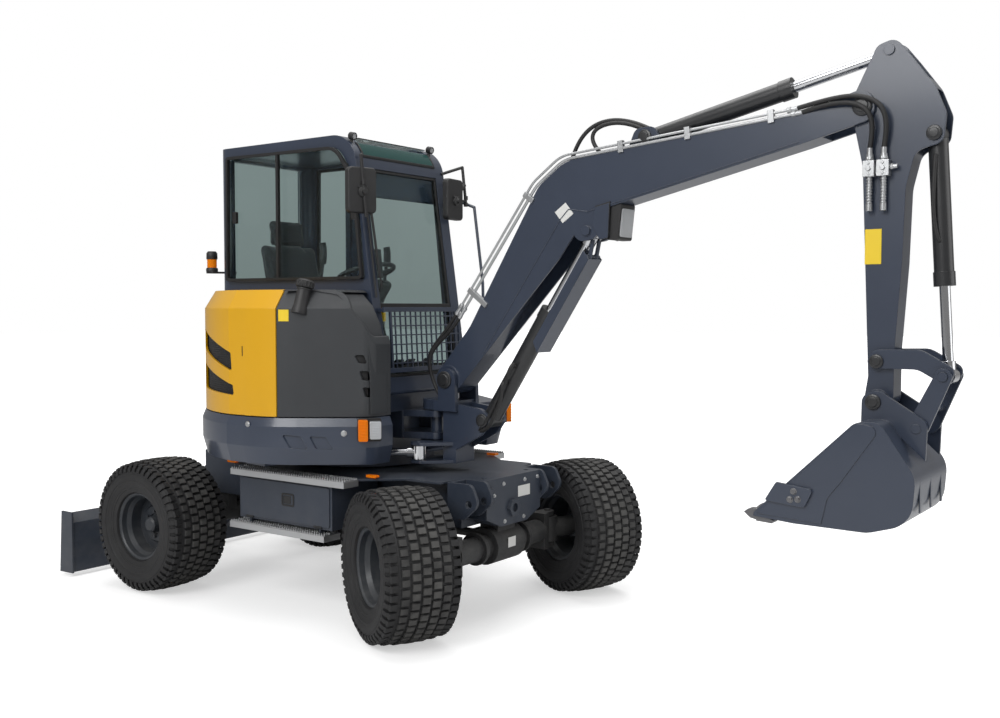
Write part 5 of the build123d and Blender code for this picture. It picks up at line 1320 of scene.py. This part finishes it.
# %% Valve blocks: hexagons, plugs and the pipes' spring guards
work = bmesh.new()
for x, half in ((3.042, 0.024), (3.101, 0.026)):
    for z in (2.262, 2.306):
        add_turned(work, [(0, 0), (0, 0.007), (0.004, 0.006), (0.004, 0)], (x, -0.153, z), (0, -1, 0),
                   steps=6)
    add_turned(work, [(0, 0), (0, 0.012), (0.007, 0.011), (0.007, 0)], (x, -0.153, 2.284), (0, -1, 0),
               steps=6)
    add_turned(work, [(0, 0), (0, 0.017), (0.012, 0.017), (0.012, 0)], (x, -0.132, 2.322), (0, 0, 1),
               steps=6)
    for k in range(9):
        z = 2.135 + 0.0125 * k
        add_turned(work, [(0, 0.009), (0.002, 0.0135), (0.007, 0.0135), (0.009, 0.009)], (x, -0.132, z),
                   (0, 0, 1), steps=16)
add_turned(work, [(0, 0), (0, 0.013), (0.012, 0.013), (0.012, 0)], (3.129, -0.132, 2.288), (1, 0, 0),
           steps=6)
finish_piece("valve_fittings", work, zinc, "arm", bevel=0.0005)

# %% Blank plates on the boom and the arm
work = bmesh.new()
add_plate(work, [(1.447, 2.182), (1.512, 2.228), (1.560, 2.170), (1.495, 2.124)], boom_face - 0.0016,
          boom_face)
finish_piece("blank_plate_on_the_boom", work, plate_white, "boom")
work = bmesh.new()
add_plate(work, [(3.020, 1.880), (3.090, 1.880), (3.090, 2.030), (3.020, 2.030)], -0.1094, -0.1080, "xz")
finish_piece("blank_plate_on_the_arm", work, plate_yellow, "arm")

# %% Bolts on the side cutters, wear bars on the bucket's back
places = []
for side, y in ((-1, GEAR_Y - 0.279), (1, GEAR_Y + 0.279)):
    places += [((2.800, y, 0.905), (0, side, 0)), ((2.784, y, 0.868), (0, side, 0)),
               ((2.818, y, 0.872), (0, side, 0))]
bolt_set("side_cutter_bolts", places, "bucket", head=0.011, height=0.009, finish=steel_worn)
work = bmesh.new()
for y in (-0.22, -0.05, 0.12):
    add_plate(work, [(3.294, 0.850), (3.292, 0.98), (3.297, 0.98), (3.299, 0.850)], y - 0.012, y + 0.012)
finish_piece("wear_bars_on_the_buckets_back", work, slate_paint, "bucket", bevel=0.001)
print("digging gear dressed")

# %% [markdown]
# ## The chassis
# The steps are zinc-plated gratings that grip a boot. Rows of teeth stand along each step, with
# holes between them, drawn as thin black plates on the step: painted shade.

# %% Serrated steps
work, slots = bmesh.new(), bmesh.new()
for x0, x1, y_in, top in ((-0.370, 0.520, 0.612, 0.778), (-0.380, 0.372, 0.600, 0.474)):
    for side in (-1, 1):
        # Thin black plates on the step's top stand for its holes: painted shade.
        for x in [x0 + 0.03 + 0.03 * k for k in range(int((x1 - x0 - 0.05) / 0.03))]:
            for y in (0.648, 0.686):
                add_plate(slots, oblong(x - 0.008, x + 0.008, side * y - 0.012, side * y + 0.012, 0.006),
                          top, top + 0.0006, "xy")
        for y in (y_in + 0.004, 0.630, 0.667, 0.704, 0.7215):
            count = int((x1 - x0) / 0.018)
            outline_pts = [(x0 + 0.004, top - 0.002)]
            for k in range(count):
                x = x0 + 0.006 + 0.018 * k
                outline_pts += [(x, top), (x + 0.005, top + 0.010), (x + 0.009, top + 0.010),
                                (x + 0.014, top)]
            outline_pts.append((x1 - 0.004, top - 0.002))
            add_plate(work, outline_pts, *sorted((side * (y - 0.0015), side * (y + 0.0015))))
finish_piece("step_teeth", work, zinc, "chassis", smooth=20)
finish_piece("painted_shade_in_the_step_holes", slots, seal_black_and_painted_shade, "chassis")

# %% Tool box doors with their latches
doors, latches = bmesh.new(), bmesh.new()
for side in (-1, 1):
    y = side * 0.690
    add_plate(doors, oblong(-0.315, 0.385, 0.512, 0.730, 0.015),
              *sorted((y, y + side * 0.006)))
    y = side * 0.696
    add_plate(latches, oblong(0.020, 0.118, 0.600, 0.672, 0.012),
              *sorted((y, y + side * 0.003)), holes=[rounded(oblong(0.030, 0.108, 0.610, 0.662, 0.008))])
    add_plate(latches, oblong(0.034, 0.094, 0.614, 0.658, 0.006),
              *sorted((y, y + side * 0.0015)))
    for x in (-0.24, 0.30):
        add_bar(latches, (x - 0.03, y, 0.512), (x + 0.03, y, 0.512), 0.006, steps=10)
finish_piece("tool_box_doors", doors, slate_chassis, "chassis", bevel=0.002)
finish_piece("tool_box_latches", latches, black_plastic, "chassis", bevel=0.0008)

# %% Bolts, markers and plates on the chassis
bolt_set("crossmember_bolts", [((1.1195, y, z), (1, 0, 0)) for y,
                               z in ((-0.252, 0.670), (-0.252, 0.722),
                                     (-0.205, 0.696))], "chassis", head=0.008, height=0.006)
bolt_set("keeper_bolts_on_the_front", [((1.1055, y, 0.745), (1, 0, 0)) for y in (-0.10, 0.10, 0.225)]
         + [((1.1055, y, 0.540), (1, 0, 0)) for y in (-0.09, 0.09)], "chassis", head=0.009, height=0.006)
work = bmesh.new()
add_plate(work, [(0.035, 0.655), (0.150, 0.655), (0.150, 0.715), (0.035, 0.715)], 1.1050, 1.1062, "yz")
add_plate(work, [(-0.040, 0.385), (0.030, 0.385), (0.030, 0.440), (-0.040, 0.440)], 1.0925, 1.0935, "yz")
finish_piece("blank_plates_on_the_front", work, plate_white, "chassis")
work = bmesh.new()
for side in (-1, 1):
    for x in (-0.500, 0.560):
        y = side * 0.610 if x < 0 else side * 0.560
        add_plate(work, [(x - 0.035, 0.786, 0.006), (x - 0.035, 0.800, 0.004), (x + 0.035, 0.800, 0.004),
                         (x + 0.035, 0.786, 0.006)], *sorted((y - side * 0.03, y - side * 0.002)))
finish_piece("side_markers", work, amber_lens, "chassis", bevel=0.001)
seats = [((x, y, 0.7805), (0, 0, 1)) for x, y in disc(0.0, 0.0, 0.345, 36)]
bolt_set("slew_ring_bolts", seats, "chassis", head=0.009, height=0.008)

print("chassis dressed")

# %% [markdown]
# ## Skirt and hood details
# The last pieces are small: bolts in the skirt, a blank plate where the side panel of a real
# machine has its label, and the tail lamps.

# %% Skirt bolts, the side panel's plate and the tail lamps
bolt_set("skirt_bolts", [((0.019, -0.9335, 1.073), (0, -1, 0)), ((0.483, -0.6815, 1.030), (0.6, -0.8, 0)),
                         ((0.019, 0.9335, 1.073), (0, 1, 0)), ((0.483, 0.6815, 1.030), (0.6, 0.8, 0))],
         "house", head=0.012, height=0.006)


def on_hood(angle, z, radius):
    """A point on a circle round the slew axis, by its angle in degrees."""
    a = math.radians(angle)
    return (radius * math.cos(a), radius * math.sin(a), z)


def curved_plate(work, start, stop, z0, z1, inner, outer, steps=6):
    """A plate bent to a circle round the slew axis, between two angles in degrees."""
    rows = []
    for k in range(steps + 1):
        angle = start + (stop - start) * k / steps
        rows.append([work.verts.new(on_hood(angle, z, r)) for z,
                     r in ((z0, inner), (z1, inner), (z1, outer), (z0, outer))])
    join_rows(work, rows)


work = bmesh.new()
rows = [[work.verts.new((x + 0.47 * d, y - 0.88 * d, z)) for z,
         d in ((1.622, 0.0004), (1.684, 0.0004), (1.684, 0.0018),
               (1.622, 0.0018))] for x, y in ((0.193, -0.8677), (0.200, -0.8643), (0.215, -0.8568),
                                              (0.230, -0.8487), (0.243, -0.8409))]
join_rows(work, rows)
finish_piece("blank_plate_on_the_side_panel", work, plate_yellow, "house")
tails, ambers = bmesh.new(), bmesh.new()
for side in (-1, 1):
    middle = 180 + side * 38
    curved_plate(tails, middle - 4.0, middle + 1.2, 0.975, 1.045, 0.9445, 0.9452)
    curved_plate(ambers, middle + 1.6, middle + 4.0, 0.975, 1.045, 0.9445, 0.9452)
finish_piece("tail_lamps", tails, red_lens, "house")
finish_piece("rear_amber_lamps", ambers, amber_lens, "house")
print("skirt dressed")
